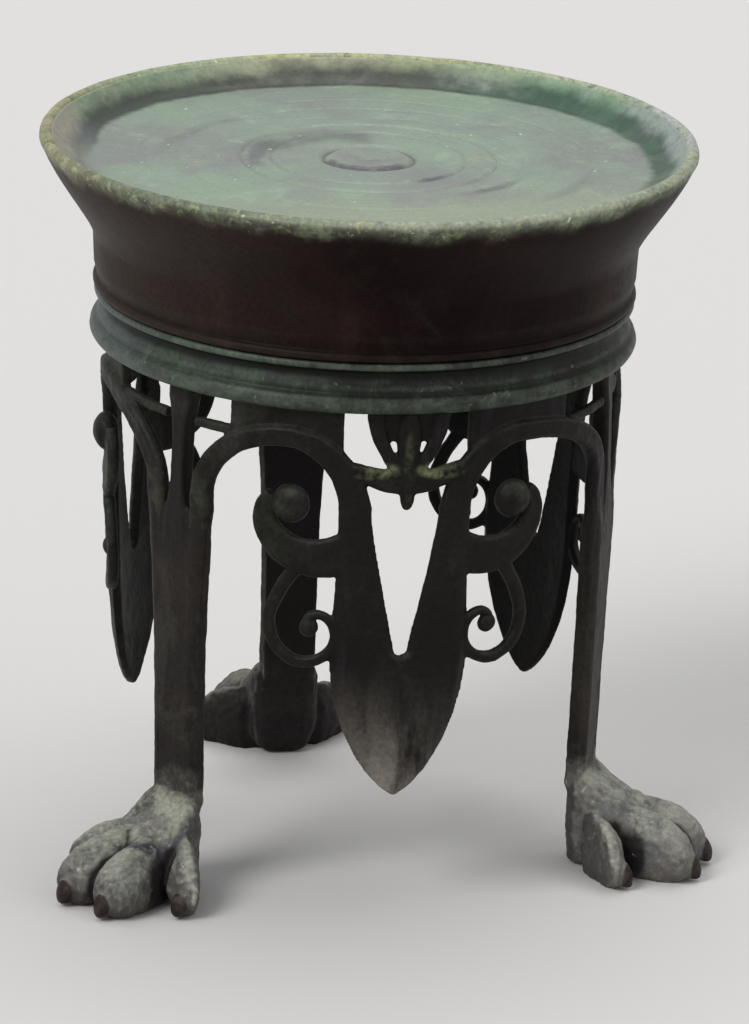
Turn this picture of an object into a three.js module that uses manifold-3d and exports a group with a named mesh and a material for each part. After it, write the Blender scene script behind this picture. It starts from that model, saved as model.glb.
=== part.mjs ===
// A bronze lamp stand: a turned dish in a flaring drum on three feline legs, with openwork between them.
// Millimetres, +Z up. The origin is the middle of the dish's floor, where the lamp stands.
import * as THREE from "three";
import { mergeVertices } from "three/addons/utils/BufferGeometryUtils.js";
import Module from "manifold-3d";

const wasm = await Module();
wasm.setup();
const { degToRad, lerp, radToDeg, smoothstep } = THREE.MathUtils;

// Gap between pieces that touch on the real stand
const fitGap = 0.3;

// Base ring
const bandRadius = 69.2;
const bandHollow = 0.7;
const ringHeight = 13.4;
const ringWall = 2.6;
const torusProud = 1.7;
const torusHalfHeight = 2.7;
const floorWidth = 12;
const floorThickness = 3;
const floorRecess = 1.2;
const spigotHeight = 4;
const cornerRelief = 1.2;

// Drum and dish
const rimRadius = 85;
const drumHeight = 54.4;
const wallProud = 1.4;
const wallThickness = 2.4;
const flareHeight = 26.6;
const lipRoundness = 1.75;
const beadSize = 1.3;
const ledgeReach = 4;
const ledgeThickness = 2;
const dishDepth = 6.3;
const dishSideWidth = 10.5;
const dishThickness = 2.2;
const turnedGrooveWidth = 1.8;
const turnedGrooveDepth = 0.55;
const turnedGrooveRadii = [11.7, 25.2, 33];

// Legs
const legCount = 3;
const legHeight = 136.2;
const prongLength = 32.2;
const strapInset = 4.4;
const strapLean = 2;
const strapWidth = 15.4;
const strapThickness = 5.2;
const shoulderWidth = 22.4;
const prongWidth = 4.8;
const prongHeadWidth = 8.6;
const prongThickness = 4.4;
const ankleHeight = 27;

// Paws
const heelBehind = 2.2;
const pawLength = 34.4;
const pawHalfWidth = 20.4;
const instepHalfWidth = 12.2;
const instepHeight = 18.8;
const toeHeight = 14;
const innerToeHalfWidth = 6.8;
const outerToeHalfWidth = 6;
const outerToeSetback = 15.6;
const clawLength = 2.6;
const clawHalfWidth = 3.5;
const clawHalfHeight = 4;

// Ornaments; the drops are measured down from the underside of the ring
const ornamentInset = 3.2;
const ornamentTurn = -5;
const ornamentLean = 4.5;
const bandDepth = 4.2;
const crownOffset = 31;
const crownDrop = 7.9;
const archFootOffset = 8;
const archWidth = 5.4;
const archFootWidth = 6.8;
const webInset = 14.5;
const webThickness = 2.6;
const webSetback = 1.1;
const webBarDrop = 8.9;
const armCentre = 13;
const armTopDrop = 28.2;
const armWidthTop = 8.6;
const leafHalfWidth = 18.8;
const leafNotchDrop = 64;
const leafTipDrop = 103.8;
const leafTipHalfWidth = 2.2;
const leafThickness = 3.8;
const saddleDrop = 18.8;
const saddleWidth = 6.4;
const saddleSag = 3.6;
const petalWidth = 4.8;
const palmetteHalfWidth = 8.6;
const budRadius = 1.8;
const voluteOffset = 29.5;
const voluteDrop = 25.5;
const knobRadius = 5.1;
const scrollWidth = 11;
const scrollGrowth = 0.0076;
const tendrilOffset = 24.2;
const tendrilDrop = 58.6;
const tendrilRadius = 10.9;
const tendrilWidth = 3.1;

// Tenons and cross pins
const tenonInset = 5.4;
const tenonWidth = 6.6;
const tenonThickness = 2.8;
const tenonRise = 6;
const lugThickness = 3.2;
const lugMargin = 2.2;
const pinDiameter = 1.8;
const pinLength = 7.6;

// What follows from the sizes above
const turnSteps = 36;
const sector = 360 / legCount;
const ringFoot = legHeight;
const ringTop = ringFoot + ringHeight;
const ringInside = bandRadius - ringWall * 2;
const rimTop = ringFoot + drumHeight;
const seatHeight = rimTop - dishDepth;
const floorUnder = ringFoot + floorRecess;
const floorTop = floorUnder + floorThickness;
const wallRadius = bandRadius + wallProud;
const wallFoot = ringTop + fitGap;
const tenonRadius = ringInside - tenonInset;
const lugTop = floorUnder - fitGap;
const pinHeight = floorTop + fitGap + pinDiameter / 2;
const shoulderHeight = legHeight - prongLength;
const strapRadiusTop = bandRadius - strapInset;
const strapRadiusFoot = strapRadiusTop - strapLean;
const prongHeadRadius = bandRadius - ringWall - fitGap - prongThickness / 2;
const pawHeel = strapRadiusFoot - heelBehind;
const ornamentRadius = bandRadius - ornamentInset;
const archFootHeight = shoulderHeight + fitGap;
const crownHeight = ringFoot - crownDrop;
const armTop = ringFoot - armTopDrop;
const leafNotchHeight = ringFoot - leafNotchDrop;
const leafTipHeight = ringFoot - leafTipDrop;
const saddleHeight = ringFoot - saddleDrop;
const voluteHeight = ringFoot - voluteDrop;
const tendrilHeight = ringFoot - tendrilDrop;

// A geometry as a solid with its faces pointing out.
function solidOf(geometry) {
  const bare = geometry.index ? geometry.toNonIndexed() : geometry.clone();
  bare.deleteAttribute("normal");
  bare.deleteAttribute("uv");
  const merged = mergeVertices(bare, 1e-4);
  const place = merged.attributes.position;
  const corners = merged.index.array;
  const [a, b, c] = [new THREE.Vector3(), new THREE.Vector3(), new THREE.Vector3()];
  const kept = [];
  let volume = 0;
  for (let i = 0; i < corners.length; i += 3) {
    const [ia, ib, ic] = [corners[i], corners[i + 1], corners[i + 2]];
    if (ia === ib || ib === ic || ic === ia) continue;
    a.fromBufferAttribute(place, ia);
    b.fromBufferAttribute(place, ib);
    c.fromBufferAttribute(place, ic);
    volume += a.dot(b.cross(c));
    kept.push(ia, ib, ic);
  }
  if (volume < 0) kept.reverse();
  return new wasm.Manifold(
    new wasm.Mesh({ numProp: 3, vertProperties: place.array, triVerts: new Uint32Array(kept) }),
  );
}

// A solid back as a geometry.
function geometryOf(solid) {
  const mesh = solid.getMesh();
  const places = new Float32Array(mesh.numVert * 3);
  for (let i = 0; i < mesh.numVert; i++) {
    places.set(mesh.vertProperties.subarray(i * mesh.numProp, i * mesh.numProp + 3), i * 3);
  }
  const geometry = new THREE.BufferGeometry();
  geometry.setAttribute("position", new THREE.BufferAttribute(places, 3));
  geometry.setIndex(new THREE.BufferAttribute(new Uint32Array(mesh.triVerts), 1));
  geometry.computeVertexNormals();
  return geometry;
}

function joined(solids) {
  return solids.reduce((whole, next) => whole.add(next));
}

// A profile of [radius, height] points turned round the axis, the outer side going up.
function turned(profile) {
  const points = profile.map(([radius, height]) => new THREE.Vector2(radius, height));
  return solidOf(new THREE.LatheGeometry(points, turnSteps).rotateX(Math.PI / 2));
}

// Points of an arc of an ellipse in a profile, angles in degrees from the outward direction.
function arc(centreRadius, centreHeight, across, up, from, to, steps) {
  return Array.from({ length: steps + 1 }, (_, i) => {
    const angle = degToRad(from + ((to - from) * i) / steps);
    return [centreRadius + across * Math.cos(angle), centreHeight + up * Math.sin(angle)];
  });
}

// A profile line moved sideways, towards the axis where the distance is positive and the line goes up.
function inset(line, distance) {
  return line.map(([radius, height], i) => {
    const before = line[Math.max(i - 1, 0)];
    const after = line[Math.min(i + 1, line.length - 1)];
    const along = new THREE.Vector2(after[0] - before[0], after[1] - before[1]).normalize();
    return [radius - along.y * distance, height + along.x * distance];
  });
}

// The radius of a rising profile line at a height.
function radiusAt(line, height) {
  const i = Math.max(line.findIndex((point) => point[1] >= height), 1);
  const [low, high] = [line[i - 1], line[i]];
  const share = THREE.MathUtils.clamp((height - low[1]) / (high[1] - low[1]), 0, 1);
  return lerp(low[0], high[0], share);
}

// A closed skin over rings of points, each ring with as many points and turning the same way.
function loft(rings) {
  const sides = rings[0].length;
  const places = rings.flat().flatMap((point) => point.toArray());
  const faces = [];
  for (let ring = 0; ring + 1 < rings.length; ring++) {
    for (let side = 0; side < sides; side++) {
      const near = ring * sides + side;
      const next = ring * sides + ((side + 1) % sides);
      faces.push(near, next, near + sides, next, next + sides, near + sides);
    }
  }
  const last = (rings.length - 1) * sides;
  for (let side = 1; side + 1 < sides; side++) {
    faces.push(0, side + 1, side, last, last + side, last + side + 1);
  }
  const geometry = new THREE.BufferGeometry();
  geometry.setAttribute("position", new THREE.Float32BufferAttribute(places, 3));
  geometry.setIndex(faces);
  return solidOf(geometry);
}

function block(width, depth, height, x, y, z) {
  return solidOf(new THREE.BoxGeometry(width, depth, height).translate(x, y, z));
}

function ball(radius, stretch, x, y, z) {
  const sides = radius > knobRadius / 2 ? 8 : 6;
  const round = new THREE.SphereGeometry(radius, sides, sides - 2);
  return solidOf(round.scale(stretch[0], stretch[1], stretch[2]).translate(x, y, z));
}

// Evenly spaced stations from a function of the share along, 0 to 1.
function stations(count, at) {
  return Array.from({ length: count + 1 }, (_, i) => at(i / count));
}

// A solid turned about the stand's axis, in degrees from the front.
function turnedTo(solid, degrees) {
  return solidOf(geometryOf(solid).rotateZ(degToRad(degrees)));
}

// The outer line of the drum's flare, from the wall up to the lip
const flareLine = new THREE.CubicBezierCurve(
  new THREE.Vector2(wallRadius, rimTop - flareHeight),
  new THREE.Vector2(lerp(wallRadius, rimRadius, 0.08), rimTop - flareHeight * 0.8),
  new THREE.Vector2(lerp(wallRadius, rimRadius, 0.66), rimTop - flareHeight * 0.48),
  new THREE.Vector2(rimRadius - lipRoundness * 0.45, rimTop - lipRoundness * 2),
)
  .getPoints(4)
  .map((point) => [point.x, point.y]);

function drumWall() {
  const beadRadius = wallRadius - beadSize * 1.2;
  const beadLine = arc(beadRadius, wallFoot + beadSize * 1.1, beadSize, beadSize, -60, 70, 3);
  const lipRadius = rimRadius - lipRoundness;
  const lipHeight = rimTop - lipRoundness;
  const lipLine = arc(lipRadius, lipHeight, lipRoundness, lipRoundness, -10, 180, 4);
  const insideLine = inset(flareLine, wallThickness).reverse();
  const insideRadius = wallRadius - wallThickness;
  const spigotClear = bandRadius - ringWall + fitGap;
  const shell = turned([
    [spigotClear, wallFoot],
    ...beadLine,
    [wallRadius - beadSize, wallFoot + beadSize * 2.8],
    [wallRadius - beadSize * 0.3, wallFoot + beadSize * 5],
    ...flareLine,
    ...lipLine,
    ...insideLine,
    [insideRadius - beadSize * 0.3, wallFoot + spigotHeight + beadSize * 2.4],
    [spigotClear, wallFoot + spigotHeight],
    [spigotClear, wallFoot],
  ]);
  const ledgeTop = seatHeight - dishThickness - fitGap;
  const ledgeOuter = radiusAt(flareLine, ledgeTop - ledgeThickness) - wallThickness * 0.6;
  const ledge = turned([
    [ledgeOuter - ledgeReach, ledgeTop - ledgeThickness],
    [ledgeOuter, ledgeTop - ledgeThickness],
    [ledgeOuter + wallThickness * 0.3, ledgeTop],
    [ledgeOuter - ledgeReach, ledgeTop],
    [ledgeOuter - ledgeReach, ledgeTop - ledgeThickness],
  ]);
  return shell.add(ledge);
}

// The dish: a turned floor with concentric grooves and a straight sloping side that ends inside the lip.
function dishPlate() {
  const under = seatHeight - dishThickness;
  const sideTop = rimTop - lipRoundness;
  const dishFloorRadius = rimRadius - dishSideWidth;
  const back = inset(flareLine, wallThickness + fitGap);
  const backRadius = (height) => radiusAt(back, Math.min(height, back[back.length - 1][1]));
  const lipInside = rimRadius - lipRoundness * 2 - fitGap;
  const topRadius = Math.min(backRadius(sideTop), lipInside);
  const middle = (under + sideTop) / 2;
  const grooves = [...turnedGrooveRadii].reverse().flatMap((radius) => [
    [radius + turnedGrooveWidth / 2, seatHeight],
    [radius, seatHeight - turnedGrooveDepth],
    [radius - turnedGrooveWidth / 2, seatHeight],
  ]);
  const side = new THREE.CubicBezierCurve(
    new THREE.Vector2(topRadius - fitGap * 2, sideTop),
    new THREE.Vector2(lerp(dishFloorRadius, topRadius, 0.6), lerp(seatHeight, sideTop, 0.5)),
    new THREE.Vector2(lerp(dishFloorRadius, topRadius, 0.25), lerp(seatHeight, sideTop, 0.1)),
    new THREE.Vector2(dishFloorRadius, seatHeight),
  );
  return turned([
    [0, under],
    [backRadius(under) - fitGap, under],
    [Math.min(backRadius(middle), lipInside), middle],
    [topRadius, sideTop - fitGap * 2],
    ...side.getPoints(3).map((point) => [point.x, point.y]),
    ...grooves,
    [0, seatHeight],
  ]);
}

// The angle of each piece about the axis, in degrees from the front
const legAngles = { leg_front_left: -sector / 2, leg_front_right: sector / 2, leg_back: 180 };
const ornamentAngles = {
  ornament_front: ornamentTurn,
  ornament_right: sector + ornamentTurn,
  ornament_left: -sector + ornamentTurn,
};
const crownTurn = radToDeg(crownOffset / ornamentRadius);
const tenonAngles = [
  ...Object.entries(legAngles),
  ...Object.entries(ornamentAngles).flatMap(([name, angle]) => [
    [name + "_left", angle - crownTurn],
    [name + "_right", angle + crownTurn],
  ]),
];

function baseRing() {
  const torusHeight = ringFoot + torusHalfHeight;
  const torusBulge = torusProud * 1.6;
  const torusCentre = bandRadius + torusProud - torusBulge;
  const torusLine = arc(torusCentre, torusHeight, torusBulge, torusHalfHeight, -70, 60, 5);
  const bandFoot = torusLine[torusLine.length - 1][1];
  const floorRadius = ringInside - floorWidth;
  const spigotRadius = bandRadius - ringWall;
  const ring = turned([
    [floorRadius, floorUnder],
    [spigotRadius, floorUnder],
    [spigotRadius + floorRecess * 0.6, ringFoot],
    [torusCentre, ringFoot],
    ...torusLine,
    [bandRadius - bandHollow * 0.4, lerp(bandFoot, ringTop, 0.25)],
    [bandRadius - bandHollow, lerp(bandFoot, ringTop, 0.5)],
    [bandRadius, ringTop - bandHollow * 2],
    [bandRadius + bandHollow, ringTop - bandHollow],
    [bandRadius + bandHollow, ringTop],
    [spigotRadius, ringTop],
    [spigotRadius, ringTop + spigotHeight - cornerRelief],
    [spigotRadius - cornerRelief, ringTop + spigotHeight],
    [ringInside, ringTop + spigotHeight],
    [ringInside, floorTop + cornerRelief],
    [ringInside - cornerRelief, floorTop],
    [floorRadius, floorTop],
    [floorRadius, floorUnder],
  ]);
  const mortise = block(
    tenonWidth + fitGap * 2,
    tenonThickness + fitGap * 2,
    floorThickness * 3,
    0,
    -tenonRadius,
    (floorUnder + floorTop) / 2,
  );
  return tenonAngles.reduce((rest, [, angle]) => rest.subtract(turnedTo(mortise, angle)), ring);
}

// A lug that lies against the underside of the ring's floor, with the tenon that goes up through it.
function lugAndTenon(outerRadius) {
  const innerRadius = tenonRadius - tenonThickness / 2 - lugMargin;
  const lug = block(
    tenonWidth + lugMargin * 2,
    outerRadius - innerRadius,
    lugThickness,
    0,
    -(outerRadius + innerRadius) / 2,
    lugTop - lugThickness / 2,
  );
  const tenonTop = floorTop + tenonRise;
  const tenonFoot = lugTop - lugThickness / 2;
  const tenonHeight = tenonTop - tenonFoot;
  const tenon = block(tenonWidth, tenonThickness, tenonHeight, 0, -tenonRadius, tenonFoot + tenonHeight / 2);
  const holeRadius = pinDiameter / 2 + fitGap;
  const hole = new THREE.CylinderGeometry(holeRadius, holeRadius, tenonThickness * 3, 8);
  return lug.add(tenon).subtract(solidOf(hole.translate(0, -tenonRadius, pinHeight)));
}

function crossPin() {
  const pin = new THREE.CylinderGeometry(pinDiameter * 0.38, pinDiameter / 2, pinLength, 8);
  return solidOf(pin.translate(0, -tenonRadius, pinHeight));
}

// One level of a leg: a strap section with a slightly convex outer face.
function strapRing(height, radius, width, thickness) {
  const across = [-0.5, -0.42, 0.42, 0.5, 0.5, 0.3, -0.3, -0.5];
  const out = [-0.3, -0.5, -0.5, -0.3, 0.22, 0.5, 0.5, 0.22];
  return across.map(
    (share, i) => new THREE.Vector3(share * width, -(radius + out[i] * thickness), height),
  );
}

// A toe or a claw along a line of [across, radius, middle height, half width, half height] places.
function digit(places, sides) {
  return loft(
    places.map(([across, radius, height, wide, tall]) =>
      Array.from({ length: sides }, (_, k) => {
        const turn = ((k + 0.5) / sides) * Math.PI * 2;
        const up = Math.max(height + Math.sin(turn) * tall, 0);
        return new THREE.Vector3(across + Math.cos(turn) * wide, -radius, up);
      }),
    ),
  );
}

// One upright section of the foot across the leg's own direction, flat on top.
function footRing(radius, halfWidth, foot, top) {
  const across = [-0.86, 0.86, 1, 0.96, 0.7, -0.7, -0.96, -1];
  const up = [0, 0, 0.3, 0.8, 1, 1, 0.8, 0.3];
  return across.map(
    (share, i) => new THREE.Vector3(share * halfWidth, -radius, lerp(foot, top, up[i])),
  );
}

// A toe that widens from its root to its knuckle and ends in a blunt claw.
function toe(side, root, tip, halfWidth) {
  const half = toeHeight / 2;
  const knuckles = [
    [0, 0.7, 1, 1.1],
    [0.36, 0.9, 1, 1.14],
    [0.66, 1, 0.94, 1.04],
    [0.88, 0.94, 0.84, 0.88],
    [1, 0.6, 0.72, 0.58],
  ];
  const skin = digit(
    knuckles.map(([share, wide, middle, tall]) => [
      side * lerp(root[0], tip[0], share),
      lerp(root[1], tip[1], share),
      half * middle,
      halfWidth * wide,
      half * tall,
    ]),
    8,
  );
  const claw = digit(
    [
      [side * tip[0], tip[1] - clawLength, clawHalfHeight * 1.3, clawHalfWidth, clawHalfHeight],
      [side * tip[0], tip[1] + clawLength * 0.5, clawHalfHeight * 1.15, clawHalfWidth * 0.92, clawHalfHeight],
      [side * tip[0], tip[1] + clawLength, clawHalfHeight * 0.9, clawHalfWidth * 0.5, clawHalfHeight * 0.6],
    ],
    6,
  );
  return [skin, claw];
}

function paw() {
  const reach = pawHeel + pawLength;
  const levels = [
    [0, 0.5, 0.14, 0.4],
    [0.04, 0.64, 0, 1],
    [0.2, 0.72, 0, 1],
    [0.29, 0.82, 0, 0.5],
    [0.38, 0.91, 0, 0.22],
    [0.6, 1, 0, -0.02],
    [0.74, 0.98, 0, -0.3],
    [0.84, 0.8, 0.06, -0.85],
  ];
  const body = loft(
    levels.map(([along, wide, foot, top]) =>
      footRing(
        pawHeel + along * pawLength,
        wide * instepHalfWidth,
        foot * instepHeight,
        instepHeight + top * (ankleHeight - instepHeight),
      ),
    ),
  );
  const outerTip = [pawHalfWidth - outerToeHalfWidth * 0.4, reach - outerToeSetback];
  const outerRoot = [instepHalfWidth * 0.5, pawHeel + pawLength * 0.2];
  const innerTip = [innerToeHalfWidth * 1.02, reach];
  const innerRoot = [innerToeHalfWidth * 0.6, pawHeel + pawLength * 0.36];
  const toes = [-1, 1].flatMap((side) => [
    ...toe(side, innerRoot, innerTip, innerToeHalfWidth),
    ...toe(side, outerRoot, outerTip, outerToeHalfWidth),
  ]);
  return joined([body, ...toes]);
}

// A leg: the strap widens smoothly to its shoulders, and a slim prong goes on up to the ring.
function leg() {
  const strap = loft(
    stations(6, (share) => {
      const height = lerp(ankleHeight - strapThickness * 1.6, shoulderHeight, share);
      const level = Math.max((height - ankleHeight) / (shoulderHeight - ankleHeight), 0);
      const radius = lerp(strapRadiusFoot, strapRadiusTop, level);
      return strapRing(height, radius, lerp(strapWidth, shoulderWidth, level ** 3), strapThickness);
    }),
  );
  const prongLevels = [
    [-0.35, 2],
    [0, 1.5],
    [0.25, 1],
    [0.55, 1],
    [0.78, 1.4],
  ];
  const prong = loft([
    ...prongLevels.map(([share, wide]) =>
      strapRing(
        lerp(shoulderHeight, lugTop, share),
        lerp(strapRadiusTop, prongHeadRadius, Math.max(share, 0)),
        prongWidth * wide,
        prongThickness,
      ),
    ),
    strapRing(lugTop - lugThickness * 1.4, prongHeadRadius, prongHeadWidth, prongThickness),
    strapRing(lugTop, prongHeadRadius, prongHeadWidth, prongThickness),
  ]);
  return joined([strap, prong, paw(), lugAndTenon(prongHeadRadius)]);
}

// The ornament is drawn flat, as [along the ring, height], and then bent round the stand.
// A band along a line of [along, height, width, depth, forward] stations.
function band(line) {
  const across = [-0.42, 0.42, 0.5, 0, -0.5];
  const out = [-0.5, -0.5, 0.1, 0.5, 0.1];
  return loft(
    line.map(([along, height, width, depth, forward = 0], i) => {
      const before = line[Math.max(i - 1, 0)];
      const after = line[Math.min(i + 1, line.length - 1)];
      const run = new THREE.Vector2(after[0] - before[0], after[1] - before[1]).normalize();
      return across.map((share, k) => {
        const sideways = share * width;
        return new THREE.Vector3(
          along - run.y * sideways,
          -(forward + out[k] * depth),
          height + run.x * sideways,
        );
      });
    }),
  );
}

// The arch is two quarter ellipses, from the leg's shoulder up to the crown and down to the arm.
const archFootTop = archFootHeight + archFootWidth / 2;

function arch(side, reach) {
  const foot = [side * reach, archFootHeight, archFootWidth, bandDepth];
  const outer = stations(4, (share) => {
    const angle = (share * Math.PI) / 2;
    return [
      side * lerp(crownOffset, reach, Math.cos(angle)),
      lerp(archFootTop, crownHeight, Math.sin(angle)),
      lerp(archFootWidth, archWidth, Math.sin(angle)),
      bandDepth,
    ];
  });
  const inner = stations(4, (share) => {
    const angle = (share * Math.PI) / 2;
    return [
      side * lerp(crownOffset, armCentre, Math.sin(angle)),
      lerp(armTop, crownHeight, Math.cos(angle)),
      lerp(archWidth, armWidthTop, share),
      bandDepth,
    ];
  });
  return band([foot, ...outer, ...inner.slice(1)]);
}

// The height of an arch's middle line at a distance along the ring.
function archLine(along, reach) {
  const [end, foot] = along > crownOffset ? [reach, archFootTop] : [armCentre, armTop];
  const share = (along - crownOffset) / (end - crownOffset);
  return lerp(foot, crownHeight, Math.sqrt(Math.max(1 - share * share, 0)));
}

// A thin web set back above the crown of an arch, with a bar that runs on to the leg's prong.
function crownWeb(side, reach, legAlong) {
  const inner = crownOffset - webInset;
  const outer = lerp(crownOffset, reach, webInset / (legAlong - crownOffset - archFootOffset) + 0.06);
  const front = webSetback - webThickness / 2;
  const back = webSetback + webThickness / 2;
  const web = loft(
    stations(5, (share) => {
      const along = lerp(inner, outer, share);
      const foot = archLine(along, reach);
      const corners = [
        [front, foot],
        [front, lugTop],
        [back, lugTop],
        [back, foot],
      ];
      return corners.map(([depth, height]) => new THREE.Vector3(side * along, depth, height));
    }),
  );
  const barHeight = ringFoot - webBarDrop;
  const prongEdge = (prongHeadWidth / 2) * (ornamentRadius / prongHeadRadius);
  const bar = band([
    [side * (outer - webThickness), barHeight, webThickness, webThickness, -webSetback],
    [side * (legAlong - prongEdge - fitGap * 1.5), barHeight, webThickness, webThickness, -webSetback],
  ]);
  return [web, bar];
}

// One level of an arm or of its half of the leaf, from the outer edge to the inner one, domed in front.
function limbRing(height, outer, inner, thickness, inLeaf) {
  const across = [0, 0.45, 1, lerp(0.8, 1, inLeaf), 0.2];
  const out = [0, 0.5, lerp(0.1, 0.62, inLeaf), -0.5, -0.5];
  return across.map(
    (share, i) => new THREE.Vector3(lerp(outer, inner, share), -out[i] * thickness, height),
  );
}

// An arm and its half of the leaf in one sweep; the inner edges of the two arms meet in the notch.
function limb(side) {
  const [innerTop, outerTop] = [armCentre - armWidthTop / 2, armCentre + armWidthTop / 2];
  const armLevels = stations(4, (share) => lerp(armTop + archWidth / 2, leafNotchHeight, share));
  const leafLevels = [0.97, 0.72, 0.44, 0.2, 0.06, 0].map((share) =>
    lerp(leafTipHeight, leafNotchHeight, share),
  );
  return loft(
    [...armLevels, ...leafLevels].map((height) => {
      const fall = Math.max((armTop - height) / (armTop - leafNotchHeight), 0);
      const rise = Math.min((height - leafTipHeight) / (leafNotchHeight - leafTipHeight), 1);
      const inLeaf = 1 - smoothstep(height, leafNotchHeight - leafThickness, leafNotchHeight + 1);
      const inner = fall > 1 ? -fitGap : innerTop * (1 - 0.82 * fall ** 1.15);
      const leafEdge = leafHalfWidth * Math.sin((Math.PI / 2) * rise ** 0.72) ** 0.92;
      const armEdge = lerp(outerTop, leafHalfWidth, fall ** 2);
      const outer = fall > 1 ? Math.max(leafEdge, leafTipHalfWidth) : armEdge;
      const thickness = lerp(leafThickness * 0.6, bandDepth, rise ** 0.6);
      return limbRing(height, side * outer, side * inner, thickness, inLeaf);
    }),
  );
}

// The scroll from the arm round under its knob: a spiral that shrinks by the same share each degree.
function scroll(side) {
  return band(
    stations(6, (share) => {
      const degrees = lerp(-35, -195, share);
      const radius = knobRadius * 1.3 * Math.exp(scrollGrowth * (degrees + 180));
      const angle = degToRad(degrees);
      return [
        side * (voluteOffset - radius * Math.cos(angle)),
        voluteHeight + radius * Math.sin(angle),
        scrollWidth * lerp(1, 0.3, share ** 1.4),
        bandDepth * lerp(0.9, 0.8, share),
      ];
    }),
  );
}

// The tendril hangs from the scroll, swings under and winds in to a small bud.
function tendril(side) {
  const startTurn = 84;
  const endTurn = -290;
  return band(
    stations(11, (share) => {
      const degrees = lerp(startTurn, endTurn, share);
      const stem = Math.max(degrees, 0) / startTurn;
      const wound = Math.min(degrees, 0) / endTurn;
      const radius = tendrilRadius * (1 + 0.62 * stem ** 3) * (1 - 0.84 * wound ** 1.6);
      const angle = degToRad(degrees);
      return [
        side * (tendrilOffset + radius * Math.cos(angle)),
        tendrilHeight + radius * Math.sin(angle),
        tendrilWidth * lerp(1.25, 0.7, share),
        bandDepth * lerp(0.75, 0.6, share),
      ];
    }),
  );
}

// The saddle joins the two arches; the palmette stands on it, with a backing under the ring.
function saddleAndPalmette() {
  const palmetteTop = ringFoot - fitGap;
  const palmetteFoot = saddleHeight + saddleWidth * 0.2;
  const rise = palmetteTop - palmetteFoot;
  const saddleReach = armCentre + 1;
  const saddle = band(
    stations(4, (share) => {
      const along = lerp(-saddleReach, saddleReach, share);
      const out = (along / saddleReach) ** 2;
      return [along, saddleHeight + saddleSag * out, saddleWidth * lerp(1, 0.5, out), bandDepth * 0.9];
    }),
  );
  const middle = band(
    stations(3, (share) => [
      0,
      palmetteFoot + rise * share,
      petalWidth * (0.8 + 0.5 * Math.sin(Math.PI * share ** 1.3)),
      bandDepth * 0.75,
    ]),
  );
  const petalFoot = petalWidth / 3;
  const petals = [-1, 1].map((side) =>
    band(
      stations(2, (share) => [
        side * lerp(petalFoot, palmetteHalfWidth, Math.sin((share * Math.PI) / 2)),
        palmetteFoot + rise * share,
        petalWidth * (0.55 + 0.25 * share),
        bandDepth * 0.6,
      ]),
    ),
  );
  const backing = band([
    [0, lerp(palmetteFoot, palmetteTop, 0.62), palmetteHalfWidth * 1.6, webThickness, -webSetback],
    [0, palmetteTop, palmetteHalfWidth * 2.5, webThickness, -webSetback],
  ]);
  const bud = ball(budRadius, [1, 1, 1.7], 0, 0, saddleHeight - saddleWidth * 0.6);
  return [saddle, middle, ...petals, backing, bud];
}

// Bends what was drawn flat round the stand, leaning in towards the tip of the leaf.
function bent(flat) {
  const geometry = geometryOf(flat);
  const place = geometry.attributes.position;
  for (let i = 0; i < place.count; i++) {
    const turn = place.getX(i) / ornamentRadius;
    const below = Math.max(crownHeight - place.getZ(i), 0) / (crownHeight - leafTipHeight);
    const radius = ornamentRadius - place.getY(i) - ornamentLean * below ** 1.4;
    place.setXYZ(i, radius * Math.sin(turn), -radius * Math.cos(turn), place.getZ(i));
  }
  return solidOf(geometry);
}

function ornament() {
  const pieces = [-1, 1].flatMap((side) => {
    const legAlong = degToRad(sector / 2 - side * ornamentTurn) * ornamentRadius;
    const reach = legAlong - archFootOffset;
    return [
      arch(side, reach),
      limb(side),
      scroll(side),
      tendril(side),
      ball(knobRadius, [1, 0.62, 1], side * voluteOffset, -bandDepth * 0.1, voluteHeight),
      ball(tendrilWidth * 0.8, [1, 0.7, 1], side * tendrilOffset, 0, tendrilHeight),
      ...crownWeb(side, reach, legAlong),
    ];
  });
  const flat = joined([...pieces, ...saddleAndPalmette()]);
  const lugs = [-1, 1].map((side) =>
    turnedTo(lugAndTenon(ornamentRadius - bandDepth * 0.35), side * crownTurn),
  );
  return joined([bent(flat), ...lugs]);
}

// Finishes, from the patina on each piece
const finish = (color, roughness, metalness) =>
  new THREE.MeshStandardMaterial({ color, roughness, metalness });
const stand = new THREE.Group();
const frame = new THREE.Group();
frame.position.z = -seatHeight;
stand.add(frame);

function place(name, solid, material, degrees = 0) {
  const mesh = new THREE.Mesh(geometryOf(solid), material);
  mesh.name = name;
  mesh.rotation.z = degToRad(degrees);
  frame.add(mesh);
}

place("dish_plate", dishPlate(), finish(0x7f8f80, 0.62, 0.55));
place("drum_wall", drumWall(), finish(0x33291f, 0.58, 0.6));
place("base_ring", baseRing(), finish(0x566052, 0.6, 0.55));
const oneLeg = leg();
for (const [name, angle] of Object.entries(legAngles)) {
  place(name, oneLeg, finish(0x4d4a40, 0.62, 0.55), angle);
}
const oneOrnament = ornament();
for (const [name, angle] of Object.entries(ornamentAngles)) {
  place(name, oneOrnament, finish(0x45443a, 0.62, 0.55), angle);
}
const onePin = crossPin();
for (const [name, angle] of tenonAngles) {
  place("pin_" + name, onePin, finish(0x6b5a38, 0.5, 0.8), angle);
}

export default stand;
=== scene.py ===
import math

import bmesh
import bpy
import numpy as np
from mathutils import Matrix, Vector, noise


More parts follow.
